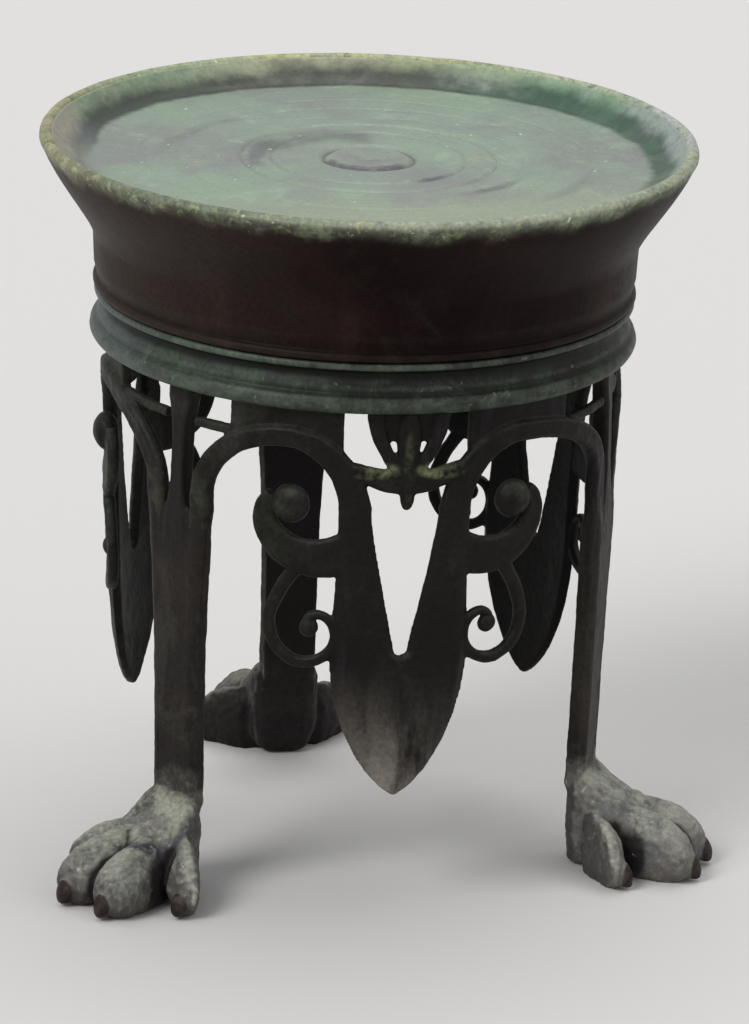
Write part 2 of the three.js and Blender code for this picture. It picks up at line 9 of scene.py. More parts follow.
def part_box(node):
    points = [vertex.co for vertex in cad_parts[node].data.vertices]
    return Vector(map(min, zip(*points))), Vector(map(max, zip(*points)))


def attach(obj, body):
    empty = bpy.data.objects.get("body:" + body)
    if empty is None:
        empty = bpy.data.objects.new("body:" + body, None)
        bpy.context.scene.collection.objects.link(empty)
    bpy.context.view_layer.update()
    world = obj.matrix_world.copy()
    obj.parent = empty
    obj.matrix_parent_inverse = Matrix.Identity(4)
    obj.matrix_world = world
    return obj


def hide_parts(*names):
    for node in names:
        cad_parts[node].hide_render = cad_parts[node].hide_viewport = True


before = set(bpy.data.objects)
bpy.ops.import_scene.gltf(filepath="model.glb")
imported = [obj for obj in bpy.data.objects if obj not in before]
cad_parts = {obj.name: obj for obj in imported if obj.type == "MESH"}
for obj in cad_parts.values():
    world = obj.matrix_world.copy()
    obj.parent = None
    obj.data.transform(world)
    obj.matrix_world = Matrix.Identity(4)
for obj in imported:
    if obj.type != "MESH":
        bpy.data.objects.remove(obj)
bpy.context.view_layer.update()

# Lengths below are in millimetres, and heights count from the floor under the paws
MM = 0.001
SEAT = -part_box("leg_back")[0].z / MM
RIM_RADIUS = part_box("drum_wall")[1].x / MM
RIM_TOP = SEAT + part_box("drum_wall")[1].z / MM
RING_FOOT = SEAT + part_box("base_ring")[0].z / MM
RING_TOP = RING_FOOT + 13.4
FLOOR_UNDER = RING_FOOT + 1.2
FLOOR_TOP = FLOOR_UNDER + 3
LUG_TOP = FLOOR_UNDER - 0.3
DISH_FLOOR_RADIUS = 74.5
WALL_RADIUS = 70.6
WALL_THICKNESS = 2.4
LIP = 1.75
LATHE_STEPS = 260

LEG_ANGLES = {"leg_front_left": -60, "leg_front_right": 60, "leg_back": 180}
ORNAMENT_ANGLES = {"ornament_front": -5, "ornament_right": 115, "ornament_left": -125}


def lerp(a, b, share):
    return a + (b - a) * share


def along(count, at):
    return [at(i / count) for i in range(count + 1)]


def smoothstep(value, low, high):
    share = min(max((value - low) / (high - low), 0), 1)
    return share * share * (3 - 2 * share)


def mesh_object(name, points, faces):
    """An object from points in millimetres above the floor, with its faces pointing out."""
    mesh = bpy.data.meshes.new(name)
    places = [(x * MM, y * MM, (z - SEAT) * MM) for x, y, z in points]
    mesh.from_pydata(places, [], faces)
    shape = bmesh.new()
    shape.from_mesh(mesh)
    bmesh.ops.remove_doubles(shape, verts=shape.verts, dist=1e-7)
    bmesh.ops.recalc_face_normals(shape, faces=shape.faces)
    shape.to_mesh(mesh)
    shape.free()
    mesh.polygons.foreach_set("use_smooth", [True] * len(mesh.polygons))
    obj = bpy.data.objects.new(name, mesh)
    bpy.context.scene.collection.objects.link(obj)
    return obj


def applied(obj):
    """The object's modifiers made into its mesh."""
    bpy.context.view_layer.update()
    shape = obj.evaluated_get(bpy.context.evaluated_depsgraph_get())
    mesh = bpy.data.meshes.new_from_object(shape)
    obj.modifiers.clear()
    obj.data = mesh
    mesh.polygons.foreach_set("use_smooth", [True] * len(mesh.polygons))
    return obj


def dress(obj, material, slot, *nodes):
    obj.data.materials.clear()
    obj.data.materials.append(material)
    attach(obj, "root")
    if nodes:
        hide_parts(*nodes)
    return obj


# What the materials read from the meshes


def places_of(mesh):
    flat = np.empty(len(mesh.vertices) * 3)
    mesh.vertices.foreach_get("co", flat)
    return flat.reshape(-1, 3)


def store(mesh, name, values):
    layer = mesh.attributes.new(name, "FLOAT", "POINT")
    layer.data.foreach_set("value", np.asarray(values, dtype=np.float32))


def store_relief(obj, rounds, name="proud", limit=0.3):
    """Keeps how far each point stands proud of the skin round it: 0.5 is level, 1 is limit mm proud."""
    mesh = obj.data
    count = len(mesh.vertices)
    places = places_of(mesh)
    normals = np.empty(count * 3)
    mesh.vertex_normals.foreach_get("vector", normals)
    ends = np.empty(len(mesh.edges) * 2, dtype=np.int64)
    mesh.edges.foreach_get("vertices", ends)
    first, second = ends.reshape(-1, 2).T
    degree = np.maximum(np.bincount(ends, minlength=count), 1)[:, None]

    def settled(values, times):
        for _ in range(times):
            total = np.empty_like(values)
            for axis in range(values.shape[1]):
                column = values[:, axis]
                total[:, axis] = np.bincount(first, weights=column[second], minlength=count)
                total[:, axis] += np.bincount(second, weights=column[first], minlength=count)
            values = (values + total / degree) / 2
        return values

    proud = ((places - settled(places, rounds)) * normals.reshape(-1, 3)).sum(axis=1, keepdims=True)
    proud = settled(proud, 2)[:, 0] / MM
    store(mesh, name, np.clip(0.5 + proud / (2 * limit), 0, 1))


def blob(places, centre, reach):
    """1 inside an ellipsoid and 0 outside it, with a soft edge."""
    off = np.sqrt((((places - np.array(centre)) / np.array(reach)) ** 2).sum(axis=1))
    return np.clip((1.2 - off) / 0.4, 0, 1)


# Curves and lathe work


def bezier(points, steps):
    """Points along a Bezier curve of three or four control points."""
    curve = []
    for i in range(steps + 1):
        level = [Vector(p) for p in points]
        while len(level) > 1:
            level = [level[k].lerp(level[k + 1], i / steps) for k in range(len(level) - 1)]
        curve.append(tuple(level[0]))
    return curve


def arc(centre, across, up, start, end, steps):
    angles = [math.radians(lerp(start, end, i / steps)) for i in range(steps + 1)]
    return [(centre[0] + across * math.cos(a), centre[1] + up * math.sin(a)) for a in angles]


def softened(profile, step):
    """The profile with long straight stretches split, so that wear can move its points."""
    points = []
    for (r0, z0), (r1, z1) in zip(profile, profile[1:]):
        count = max(1, math.ceil(math.hypot(r1 - r0, z1 - z0) / step))
        points += [(lerp(r0, r1, i / count), lerp(z0, z1, i / count)) for i in range(count)]
    return points + [profile[-1]]


def lathe(name, profile, wear=0.12, step=1.1):
    """A closed profile of (radius, height) points turned round the axis, with slight wear."""
    points, faces = [], []
    line = softened(profile, step)[:-1]
    for turn in range(LATHE_STEPS):
        angle = 2 * math.pi * turn / LATHE_STEPS
        for radius, height in line:
            place = Vector((radius * math.sin(angle), -radius * math.cos(angle), height))
            rub = wear * (noise.noise(place * 0.09) + 0.5 * noise.noise(place * 0.35))
            scale = 1 + rub / max(radius, 12)
            points.append((place.x * scale, place.y * scale, place.z + rub * 0.6))
    count = len(line)
    for turn in range(LATHE_STEPS):
        after = (turn + 1) % LATHE_STEPS
        for i in range(count):
            k = (i + 1) % count
            faces.append((turn * count + i, after * count + i, after * count + k, turn * count + k))
    obj = mesh_object(name, points, faces)
    store_relief(obj, 4, limit=0.25)
    return obj


FLARE = bezier(
    [
        (WALL_RADIUS, RIM_TOP - 26.6),
        (lerp(WALL_RADIUS, RIM_RADIUS, 0.08), RIM_TOP - 21.3),
        (lerp(WALL_RADIUS, RIM_RADIUS, 0.66), RIM_TOP - 12.8),
        (RIM_RADIUS - 0.8, RIM_TOP - 3.5),
    ],
    20,
)


def inset(line, distance):
    moved = []
    for i, (radius, height) in enumerate(line):
        before, after = line[max(i - 1, 0)], line[min(i + 1, len(line) - 1)]
        run = Vector((after[0] - before[0], after[1] - before[1])).normalized()
        moved.append((radius - run.y * distance, height + run.x * distance))
    return moved


def drum_wall():
    foot = RING_TOP + 0.1
    profile = [
        (66.9, foot),
        (68.4, foot),
        *arc((69.05, foot + 1.45), 1.3, 1.3, -70, 75, 8),
        (69.3, foot + 3.4),
        (69.7, foot + 4.6),
        (70.2, foot + 6.5),
        *FLARE,
        *arc((RIM_RADIUS - LIP, RIM_TOP - LIP), LIP, LIP, -15, 185, 14),
        *reversed(inset(FLARE, WALL_THICKNESS)),
        (67.8, foot + 7),
        (66.9, foot + 4),
        (66.9, foot),
    ]
    return lathe("drum_wall_bronze", profile)


# Rings turned into the dish's floor: radius, half width, depth
DISH_GROOVES = [
    (11.7, 1.5, 0.75), (25.2, 0.9, 0.4), (33, 1, 0.45), (40.2, 0.6, 0.14), (49.3, 0.8, 0.25), (58, 0.6, 0.14),
]


def dish_plate():
    """The turned floor with its fine rings, and the straight slope that runs up to the lip."""
    under = SEAT - 2.2
    top = (RIM_RADIUS - LIP * 1.77, RIM_TOP - LIP * 0.37)
    floor = [(DISH_FLOOR_RADIUS, SEAT)]
    for radius, half, depth in sorted(DISH_GROOVES, reverse=True):
        floor += [(radius + half, SEAT), (radius + half / 2, SEAT - depth * 0.75), (radius, SEAT - depth)]
        floor += [(radius - half / 2, SEAT - depth * 0.75), (radius - half, SEAT)]
    boss = [(4.2, SEAT), (3.1, SEAT - 0.25), (1.6, SEAT - 0.3), (0.05, SEAT - 0.2)]
    slope = bezier(
        [
            top,
            (lerp(DISH_FLOOR_RADIUS, top[0], 0.8), lerp(SEAT, top[1], 0.68)),
            (lerp(DISH_FLOOR_RADIUS, top[0], 0.34), lerp(SEAT, top[1], 0.08)),
            (DISH_FLOOR_RADIUS, SEAT),
        ],
        14,
    )
    profile = [
        (0.05, under),
        (76, under),
        (78.4, under + 3.6),
        (top[0] - 0.2, top[1] - 1.6),
        *slope[:-1],
        *floor,
        *boss,
        (0.05, under),
    ]
    return lathe("dish_plate_bronze", profile, wear=0.14)


def base_ring():
    torus = RING_FOOT + 2.7
    profile = [
        (51.4, FLOOR_UNDER),
        (66.2, FLOOR_UNDER),
        (66.9, RING_FOOT),
        *arc((68.2, torus), 2.7, 2.7, -90, 64, 12),
        (69, torus + 3),
        *bezier([(69.1, torus + 3.3), (68.7, torus + 5.6), (66.5, torus + 7.2), (68.5, torus + 8.5)], 9),
        *arc((69.1, RING_TOP - 1), 0.85, 0.95, -60, 90, 6),
        (66.6, RING_TOP),
        (66.6, RING_TOP + 3),
        (65.6, RING_TOP + 4),
        (64, RING_TOP + 4),
        (64, FLOOR_TOP + 1.2),
        (62.8, FLOOR_TOP),
        (51.4, FLOOR_TOP),
        (51.4, FLOOR_UNDER),
    ]
    return lathe("base_ring_bronze", profile, step=0.9)


# Lofts in flat drawing space: x along the stand's round, y towards the middle, z up


def loft(rings):
    sides = len(rings[0])
    points = [p for ring in rings for p in ring]
    faces = []
    for i in range(len(rings) - 1):
        for k in range(sides):
            near, next_side = i * sides + k, i * sides + (k + 1) % sides
            faces.append((near, next_side, next_side + sides, near + sides))
    faces.append(tuple(range(sides))[::-1])
    faces.append(tuple((len(rings) - 1) * sides + k for k in range(sides)))
    return points, faces


def ball(radius, stretch, centre, rows=12, columns=18):
    rings = []
    for i in range(1, rows):
        tilt = math.pi * i / rows
        ring = []
        for k in range(columns):
            turn = 2 * math.pi * k / columns
            ring.append((
                centre[0] + radius * stretch[0] * math.sin(tilt) * math.cos(turn),
                centre[1] + radius * stretch[1] * math.sin(tilt) * math.sin(turn),
                centre[2] - radius * stretch[2] * math.cos(tilt),
            ))
        rings.append(ring)
    return loft(rings)


def fused(name, shapes, voxel, smoothing):
    """Separate closed shapes grown into one skin, as a casting is."""
    points, faces = [], []
    for shape_points, shape_faces in shapes:
        start = len(points)
        points += shape_points
        faces += [tuple(i + start for i in face) for face in shape_faces]
    mesh = bpy.data.meshes.new(name)
    mesh.from_pydata([tuple(v * MM for v in p) for p in points], [], faces)
    shape = bmesh.new()
    shape.from_mesh(mesh)
    bmesh.ops.recalc_face_normals(shape, faces=shape.faces)
    shape.to_mesh(mesh)
    shape.free()
    obj = bpy.data.objects.new(name, mesh)
    bpy.context.scene.collection.objects.link(obj)
    remesh = obj.modifiers.new("one skin", "REMESH")
    remesh.mode = "VOXEL"
    remesh.voxel_size = voxel * MM
    soften = obj.modifiers.new("soften", "SMOOTH")
    soften.factor = 0.5
    soften.iterations = smoothing
    return applied(obj)


def roughened(obj, amount):
    """Moves each point along its normal by unevenness from casting and wear; amount gives its size in mm."""
    mesh = obj.data
    places = places_of(mesh)
    normals = np.empty(len(mesh.vertices) * 3)
    mesh.vertex_normals.foreach_get("vector", normals)
    sizes = amount(places / MM)
    bumps = np.empty(len(places))
    for i, place in enumerate(places):
        point = Vector(place) / MM
        bumps[i] = noise.noise(point * 0.22) + 0.6 * noise.noise(point * 0.6)
    moved = places + normals.reshape(-1, 3) * (bumps * sizes)[:, None] * MM
    mesh.vertices.foreach_set("co", moved.ravel())
    mesh.update()


def reshape(obj, place):
    """Moves every point of the mesh by a function of its place, both in millimetres above the floor."""
    mesh = obj.data
    moved = [place(*point) for point in places_of(mesh) / MM]
    places = np.array([(x * MM, y * MM, (z - SEAT) * MM) for x, y, z in moved])
    mesh.vertices.foreach_set("co", places.ravel())
    mesh.update()


def band(stations, fluted=0.0, sides=20):
    """A bar along (along, height, width, depth, forward) stations, rounded in front, with a shallow flute."""
    rings = []
    for i, station in enumerate(stations):
        place, height, width, depth = station[:4]
        forward = station[4] if len(station) > 4 else 0
        before, after = stations[max(i - 1, 0)], stations[min(i + 1, len(stations) - 1)]
        run = Vector((after[0] - before[0], after[1] - before[1])).normalized()
        ring = []
        for k in range(sides):
            turn = 2 * math.pi * (k + 0.5) / sides
            across = 0.5 * width * math.copysign(abs(math.cos(turn)) ** 0.7, math.cos(turn))
            out = 0.5 * depth * math.copysign(abs(math.sin(turn)) ** 0.75, math.sin(turn))
            if out > 0:
                out -= fluted * depth * math.exp(-((across / (width * 0.22)) ** 2))
            ring.append((place - run.y * across, -(forward + out), height + run.x * across))
        rings.append(ring)
    return loft(rings)


# Ornaments

ORNAMENT_RADIUS = 66
BAND_DEPTH = 4.2
CROWN_OFFSET, CROWN_HEIGHT = 31, 128.3
ARCH_FOOT = 104.3
ARCH_WIDTH, ARCH_FOOT_WIDTH, ARCH_FOOT_OFFSET = 5.4, 6.8, 8
ARM_CENTRE, ARM_TOP, ARM_WIDTH = 13, 108, 8.6
LEAF_HALF, LEAF_TIP_HALF, LEAF_TIP, LEAF_NOTCH = 18.8, 2.2, 32.4, 72.2
SADDLE, SADDLE_REACH, SADDLE_WIDTH = 117.4, 14, 6.4
VOLUTE = (29.5, 110.7)
KNOB = 5.1
TENDRIL = (24.2, 77.6)
WEB_FRONT, WEB_BACK, WEB_BAR = -0.2, 2.4, 127.3
ORNAMENT_LEAN = 4.5


def leg_along(side):
    return math.radians(60 + side * 5) * ORNAMENT_RADIUS


def arch(side):
    reach = leg_along(side) - ARCH_FOOT_OFFSET
    foot_top = ARCH_FOOT + ARCH_FOOT_WIDTH / 2

    def outer(share):
        rise, run = math.sin(share * math.pi / 2), math.cos(share * math.pi / 2)
        place = side * lerp(CROWN_OFFSET, reach, run)
        width = lerp(ARCH_FOOT_WIDTH, ARCH_WIDTH, rise)
        return (place, lerp(foot_top, CROWN_HEIGHT, rise), width, BAND_DEPTH)

    def inner(share):
        run, rise = math.sin(share * math.pi / 2), math.cos(share * math.pi / 2)
        place = side * lerp(CROWN_OFFSET, ARM_CENTRE, run)
        return (place, lerp(ARM_TOP, CROWN_HEIGHT, rise), lerp(ARCH_WIDTH, ARM_WIDTH, share), BAND_DEPTH)

    feet = [
        (side * (reach + sunk * 0.14), ARCH_FOOT - sunk, ARCH_FOOT_WIDTH * (1 - sunk * 0.022), BAND_DEPTH)
        for sunk in (12, 9, 6, 3, 0)
    ]
    return band([*feet, *along(16, outer), *along(16, inner)[1:]], fluted=0.13)


def arch_line(place, reach):
    """The height of an arch's middle line at a distance along the ring."""
    outside = place > CROWN_OFFSET
    end, foot = (reach, ARCH_FOOT + ARCH_FOOT_WIDTH / 2) if outside else (ARM_CENTRE, ARM_TOP)
    share = (place - CROWN_OFFSET) / (end - CROWN_OFFSET)
    return lerp(foot, CROWN_HEIGHT, math.sqrt(max(1 - share * share, 0)))


def crown_web(side):
    """The thin web set back above an arch's crown, and the bar that runs on towards the leg."""
    reach = leg_along(side) - ARCH_FOOT_OFFSET
    inner = CROWN_OFFSET - 14.5
    outer = lerp(CROWN_OFFSET, reach, 14.5 / (reach - CROWN_OFFSET) + 0.06)

    def station(share):
        place = lerp(inner, outer, share)
        foot = arch_line(place, reach)
        corners = [(WEB_FRONT, foot), (WEB_FRONT, LUG_TOP), (WEB_BACK, LUG_TOP), (WEB_BACK, foot)]
        return [(side * place, depth, height) for depth, height in corners]

    end = leg_along(side) - 5.1
    bar = band([(side * (outer - 2.6), WEB_BAR, 2.6, 2.6, -1.1), (side * end, WEB_BAR, 2.6, 2.6, -1.1)])
    return [loft(along(12, station)), bar]


def limb_ring(height, outer, inner, thickness, in_leaf):
    """A level of an arm or of its half of the leaf: a soft rim outside, and a midrib where the halves meet."""
    ring = []
    for k in range(17):
        share = k / 16
        in_arm_out = 0.5 * (1 - abs(2 * share - 1) ** 3.4) - 0.07 * math.exp(-(((share - 0.5) / 0.2) ** 2))
        fall = max(1 - share / 0.5, 0)
        leaf_out = 0.46 * (1 - fall ** 2.6) + 0.1 * math.exp(-(((share - 0.16) / 0.07) ** 2))
        leaf_out += 0.24 * math.exp(-(((share - 1) / 0.13) ** 2))
        out = lerp(in_arm_out, leaf_out, in_leaf)
        ring.append((lerp(outer, inner, share), -out * thickness, height))
    for share in (lerp(0.92, 1, in_leaf), 0.7, 0.35, 0.1):
        ring.append((lerp(outer, inner, share), 0.5 * thickness, height))
    return ring


def limb(side):
    """An arm and its half of the leaf in one sweep; the two arms' inner edges meet in a round notch."""
    arm_levels = along(16, lambda s: lerp(ARM_TOP + ARCH_WIDTH / 2, LEAF_NOTCH, s))
    notch_levels = [LEAF_NOTCH - drop for drop in (0.5, 1, 1.4, 1.7, 2, 3, 4.5)]
    leaf_levels = along(26, lambda s: lerp(LEAF_NOTCH - 6, LEAF_TIP, s ** 0.9))
    rings = []
    for height in [*arm_levels, *notch_levels, *leaf_levels]:
        fall = max((ARM_TOP - height) / (ARM_TOP - LEAF_NOTCH), 0)
        rise = min((height - LEAF_TIP) / (LEAF_NOTCH - LEAF_TIP), 1)
        in_leaf = 1 - smoothstep(height, LEAF_NOTCH - 5, LEAF_NOTCH + 1)
        if fall <= 1:
            inner = (ARM_CENTRE - ARM_WIDTH / 2) * (1 - 0.82 * fall ** 1.15)
            outer = lerp(ARM_CENTRE + ARM_WIDTH / 2, LEAF_HALF, fall ** 2)
        else:
            dip = (LEAF_NOTCH - height) / 1.8
            inner = 1.57 * math.sqrt(1 - dip * dip) if dip < 1 else -0.4
            edge = LEAF_HALF * math.sin(math.pi / 2 * rise ** 0.72) ** 0.92
            outer = max(edge, LEAF_TIP_HALF * math.sqrt(min(rise / 0.02 + 0.1, 1)))
        thickness = lerp(2.3, BAND_DEPTH, rise ** 0.6)
        rings.append(limb_ring(height, side * outer, side * inner, thickness, in_leaf))
    return loft(rings)


def scroll(side):
    def station(share):
        degrees = lerp(-35, -200, share)
        radius = KNOB * 1.3 * math.exp(0.0076 * (degrees + 180))
        angle = math.radians(degrees)
        place = side * (VOLUTE[0] - radius * math.cos(angle))
        return (place, VOLUTE[1] + radius * math.sin(angle), 11 * lerp(1, 0.28, share ** 1.4), BAND_DEPTH * 0.88)

    return band(along(26, station), fluted=0.17)


def tendril(side):
    def station(share):
        degrees = lerp(84, -290, share)
        stem = max(degrees, 0) / 84
        wound = max(-degrees, 0) / 290
        radius = 10.9 * (1 + 0.62 * stem ** 3) * (1 - 0.84 * wound ** 1.6)
        angle = math.radians(degrees)
        place = side * (TENDRIL[0] + radius * math.cos(angle))
        width = 3.1 * lerp(1.25, 0.7, share)
        return (place, TENDRIL[1] + radius * math.sin(angle), width, BAND_DEPTH * lerp(0.75, 0.6, share))

    return band(along(54, station), sides=12)


def saddle_and_palmette():
    top = RING_FOOT - 0.3
    foot = SADDLE + 1.3

    def saddle_at(share):
        place = lerp(-SADDLE_REACH, SADDLE_REACH, share)
        out = (place / SADDLE_REACH) ** 2
        return (place, SADDLE + 3.6 * out, SADDLE_WIDTH * lerp(1, 0.5, out), BAND_DEPTH * 0.95)

    def middle_at(share):
        return (0, lerp(foot, top, share), 4.8 * (0.8 + 0.5 * math.sin(math.pi * share ** 1.3)), BAND_DEPTH * 0.75)

    def petal(side):
        return band(along(10, lambda s: (
            side * lerp(1.6, 8.6, math.sin(s * math.pi / 2)),
            lerp(foot, top, s),
            5.5 * (0.55 + 0.25 * s),
            BAND_DEPTH * 0.6,
        )), fluted=-0.12)

    backing = band([
        (0, lerp(foot, top, 0.55), 12.6, 2.6, -1.1),
        (0, lerp(foot, top, 0.8), 17.5, 2.6, -1.1),
        (0, top, 21.5, 2.6, -1.1),
    ])
    bud = ball(1.9, (1, 1, 1.8), (0, -0.4, SADDLE - 4))
    return [band(along(20, saddle_at), fluted=0.12), band(along(10, middle_at), fluted=-0.1),
            petal(-1), petal(1), backing, bud]


def bend(x, y, z):
    """Wraps the flat drawing round the stand, leaning in towards the tip of the leaf."""
    turn = x / ORNAMENT_RADIUS
    below = max(CROWN_HEIGHT - z, 0) / (CROWN_HEIGHT - LEAF_TIP)
    radius = ORNAMENT_RADIUS - y - ORNAMENT_LEAN * below ** 1.4
    return radius * math.sin(turn), -radius * math.cos(turn), z


def ornament(name):
    shapes = saddle_and_palmette()
    for side in (-1, 1):
        shapes += [
            arch(side),
            limb(side),
            scroll(side),
            tendril(side),
            *crown_web(side),
            ball(KNOB, (1, 0.68, 1), (side * VOLUTE[0], -0.5, VOLUTE[1])),
            ball(2.6, (1, 0.75, 1), (side * TENDRIL[0], -0.1, TENDRIL[1])),
        ]
    obj = fused(name, shapes, 0.42, 3)
    flat = places_of(obj.data) / MM
    pale = np.clip((LEAF_TIP + 38 - flat[:, 2]) / 38, 0, 1) ** 1.8
    pale = pale * np.clip(1 - (flat[:, 0] + 4) / 30, 0.4, 1)
    # Where the painted highlights go: the saddle's top edge, and fainter on the volute knobs and the palmette's middle
    painted_gleam = np.zeros(len(flat))
    for side in (-1, 1):
        painted_gleam = np.maximum(painted_gleam, 0.25 * blob(flat, (side * VOLUTE[0], -3, VOLUTE[1] + 1), (3.4, 4, 3.4)))
        painted_gleam = np.maximum(painted_gleam, blob(flat, (side * 8.5, -1, SADDLE + 3.4), (6.4, 4, 2.2)))
    painted_gleam = np.maximum(painted_gleam, 0.35 * blob(flat, (0, -3, SADDLE + 4), (1.3, 3, 10)))
    store(obj.data, "pale", pale)
    store(obj.data, "painted_gleam", painted_gleam)
    roughened(obj, lambda places: np.full(len(places), 0.16))
    reshape(obj, bend)
    store_relief(obj, 8)
    return obj


# Legs and paws, drawn with the leg in front: x across, y towards the middle, z up

STRAP_WIDTH, SHOULDER_WIDTH, STRAP_THICKNESS = 15.4, 22.4, 5.2
STRAP_TOP_RADIUS, STRAP_FOOT_RADIUS = 64.8, 62.8
SHOULDER, ANKLE = 104, 27
PRONG_HEAD_RADIUS = 64.1
PAW_HEEL, PAW_REACH = 60.6, 95
TOE_HEIGHT = 14
INNER_ROOT, INNER_TIP, INNER_HALF = (4.1, 73), (6.9, PAW_REACH), 6.8
OUTER_ROOT, OUTER_TIP, OUTER_HALF = (8, 66.8), (19.2, PAW_REACH - 15.6), 5.9
CLAW_HALF_WIDTH, CLAW_HALF_HEIGHT = 3, 3.7
# The clefts between the toes run from one (across, radius) point to the other, below a height
CLEFTS = [((0, 80), (0, 95), 15), ((9.2, 70), (12, 82), 17)]


def strap_ring(height, radius, width, thickness):
    """A strap's section: a flat back, soft edges and a front with a low ridge along each edge."""
    ring = []
    for k in range(21):
        share = -1 + 2 * k / 20
        ridge = 0.3 * math.exp(-(((abs(share) - 0.76) / 0.13) ** 2))
        edge = 0.5 * thickness * (1 - abs(share) ** 7 * 0.6) + ridge
        ring.append((share * width / 2, -(radius + edge), height))
    for share in (0.92, 0.5, 0, -0.5, -0.92):
        ring.append((share * width / 2, -(radius - 0.5 * thickness), height))
    return ring


def digit(stations, sides=28):
    rings = []
    for x, radius, height, wide, tall in stations:
        turns = [2 * math.pi * k / sides for k in range(sides)]
        rings.append([(x + math.cos(t) * wide, -radius, max(height + math.sin(t) * tall, 0.0)) for t in turns])
    return loft(rings)


# Share along a toe, and its half width, middle height and half height as shares of the toe's own sizes
KNUCKLES = [
    (0, 0.72, 1, 1.35), (0.2, 0.86, 1.02, 1.58), (0.4, 0.95, 1, 1.5), (0.56, 1, 0.98, 1.4), (0.7, 1.02, 0.94, 1.24),
    (0.82, 0.98, 0.88, 1.04), (0.9, 0.9, 0.84, 0.88), (0.955, 0.76, 0.8, 0.7), (0.99, 0.56, 0.76, 0.5), (1, 0.3, 0.74, 0.3),
]


def toe(side, root, tip, half_width, tall_share):
    half = TOE_HEIGHT / 2
    skin = digit([
        (
            side * lerp(root[0], tip[0], share),
            lerp(root[1], tip[1], share),
            half * middle,
            half_width * wide,
            half * tall * tall_share,
        )
        for share, wide, middle, tall in KNUCKLES
    ])
    claw = digit([
        (side * tip[0], tip[1] - 3, CLAW_HALF_HEIGHT * 1.35, CLAW_HALF_WIDTH * 0.94, CLAW_HALF_HEIGHT * 0.98),
        (side * tip[0], tip[1] - 0.5, CLAW_HALF_HEIGHT * 1.25, CLAW_HALF_WIDTH, CLAW_HALF_HEIGHT),
        (side * tip[0], tip[1] + 1.2, CLAW_HALF_HEIGHT * 1.05, CLAW_HALF_WIDTH * 0.86, CLAW_HALF_HEIGHT * 0.86),
        (side * tip[0], tip[1] + 2.2, CLAW_HALF_HEIGHT * 0.86, CLAW_HALF_WIDTH * 0.6, CLAW_HALF_HEIGHT * 0.62),
        (side * tip[0], tip[1] + 2.7, CLAW_HALF_HEIGHT * 0.72, CLAW_HALF_WIDTH * 0.3, CLAW_HALF_HEIGHT * 0.34),
    ], 16)
    return [skin, claw]


def foot_ring(radius, half, foot, top):
    """An upright section of the foot, flat on top with firm edges."""
    ring = []
    for k in range(32):
        turn = 2 * math.pi * k / 32
        x = half * math.copysign(abs(math.cos(turn)) ** 0.55, math.cos(turn))
        up = 0.5 + 0.5 * math.copysign(abs(math.sin(turn)) ** 0.6, math.sin(turn))
        ring.append((x, -radius, lerp(foot, top, up)))
    return ring


def paw():
    levels = [
        (PAW_HEEL, 5.4, 3, 22), (61.4, 7.2, 0.6, 26.4), (63, 8.6, 0, 28), (66, 9.6, 0, 27), (68.6, 10.3, 0, 24.4),
        (71.4, 10.6, 0, 22), (74.5, 10.2, 0, 20.2), (77.4, 9.4, 0, 17.8), (80, 8.6, 0, 14.6), (83, 7.6, 0, 11),
        (86, 6.6, 0.6, 8), (88.6, 5.4, 1.6, 6),
    ]
    shapes = [loft([foot_ring(*level) for level in levels])]
    for side in (-1, 1):
        shapes += toe(side, INNER_ROOT, INNER_TIP, INNER_HALF, 1)
        shapes += toe(side, OUTER_ROOT, OUTER_TIP, OUTER_HALF, 0.9)
    return shapes


def strap_and_prong():
    def strap_at(height):
        level = max((height - ANKLE) / (SHOULDER - ANKLE), 0)
        sunk = max((23 - height) / 23, 0)
        radius = lerp(STRAP_FOOT_RADIUS, STRAP_TOP_RADIUS, level) + sunk * 6
        width = lerp(STRAP_WIDTH, SHOULDER_WIDTH, level ** 3) - sunk * 8
        thinned = 2 * smoothstep(height, SHOULDER - 13, SHOULDER)
        return strap_ring(height, radius, width, STRAP_THICKNESS - sunk * 6 - thinned)

    heights = [14, 17, 20, 23, *along(19, lambda s: lerp(26, SHOULDER - 0.8, s))]
    strap = loft([*[strap_at(height) for height in heights],
                  strap_ring(SHOULDER - 0.1, STRAP_TOP_RADIUS, SHOULDER_WIDTH - 1.2, STRAP_THICKNESS - 2.6)])
    widths = [(-0.35, 9.6), (-0.1, 8.4), (0, 7.2), (0.12, 5.6), (0.25, 4.8), (0.4, 4.6), (0.55, 4.8), (0.68, 5.8),
              (0.78, 7.2), (0.87, 8.5), (1, 8.6)]
    prong = loft([
        strap_ring(
            lerp(SHOULDER, LUG_TOP, share),
            lerp(STRAP_TOP_RADIUS, PRONG_HEAD_RADIUS, max(share, 0)),
            width,
            4.4,
        )
        for share, width in widths
    ])
    return [strap, prong]


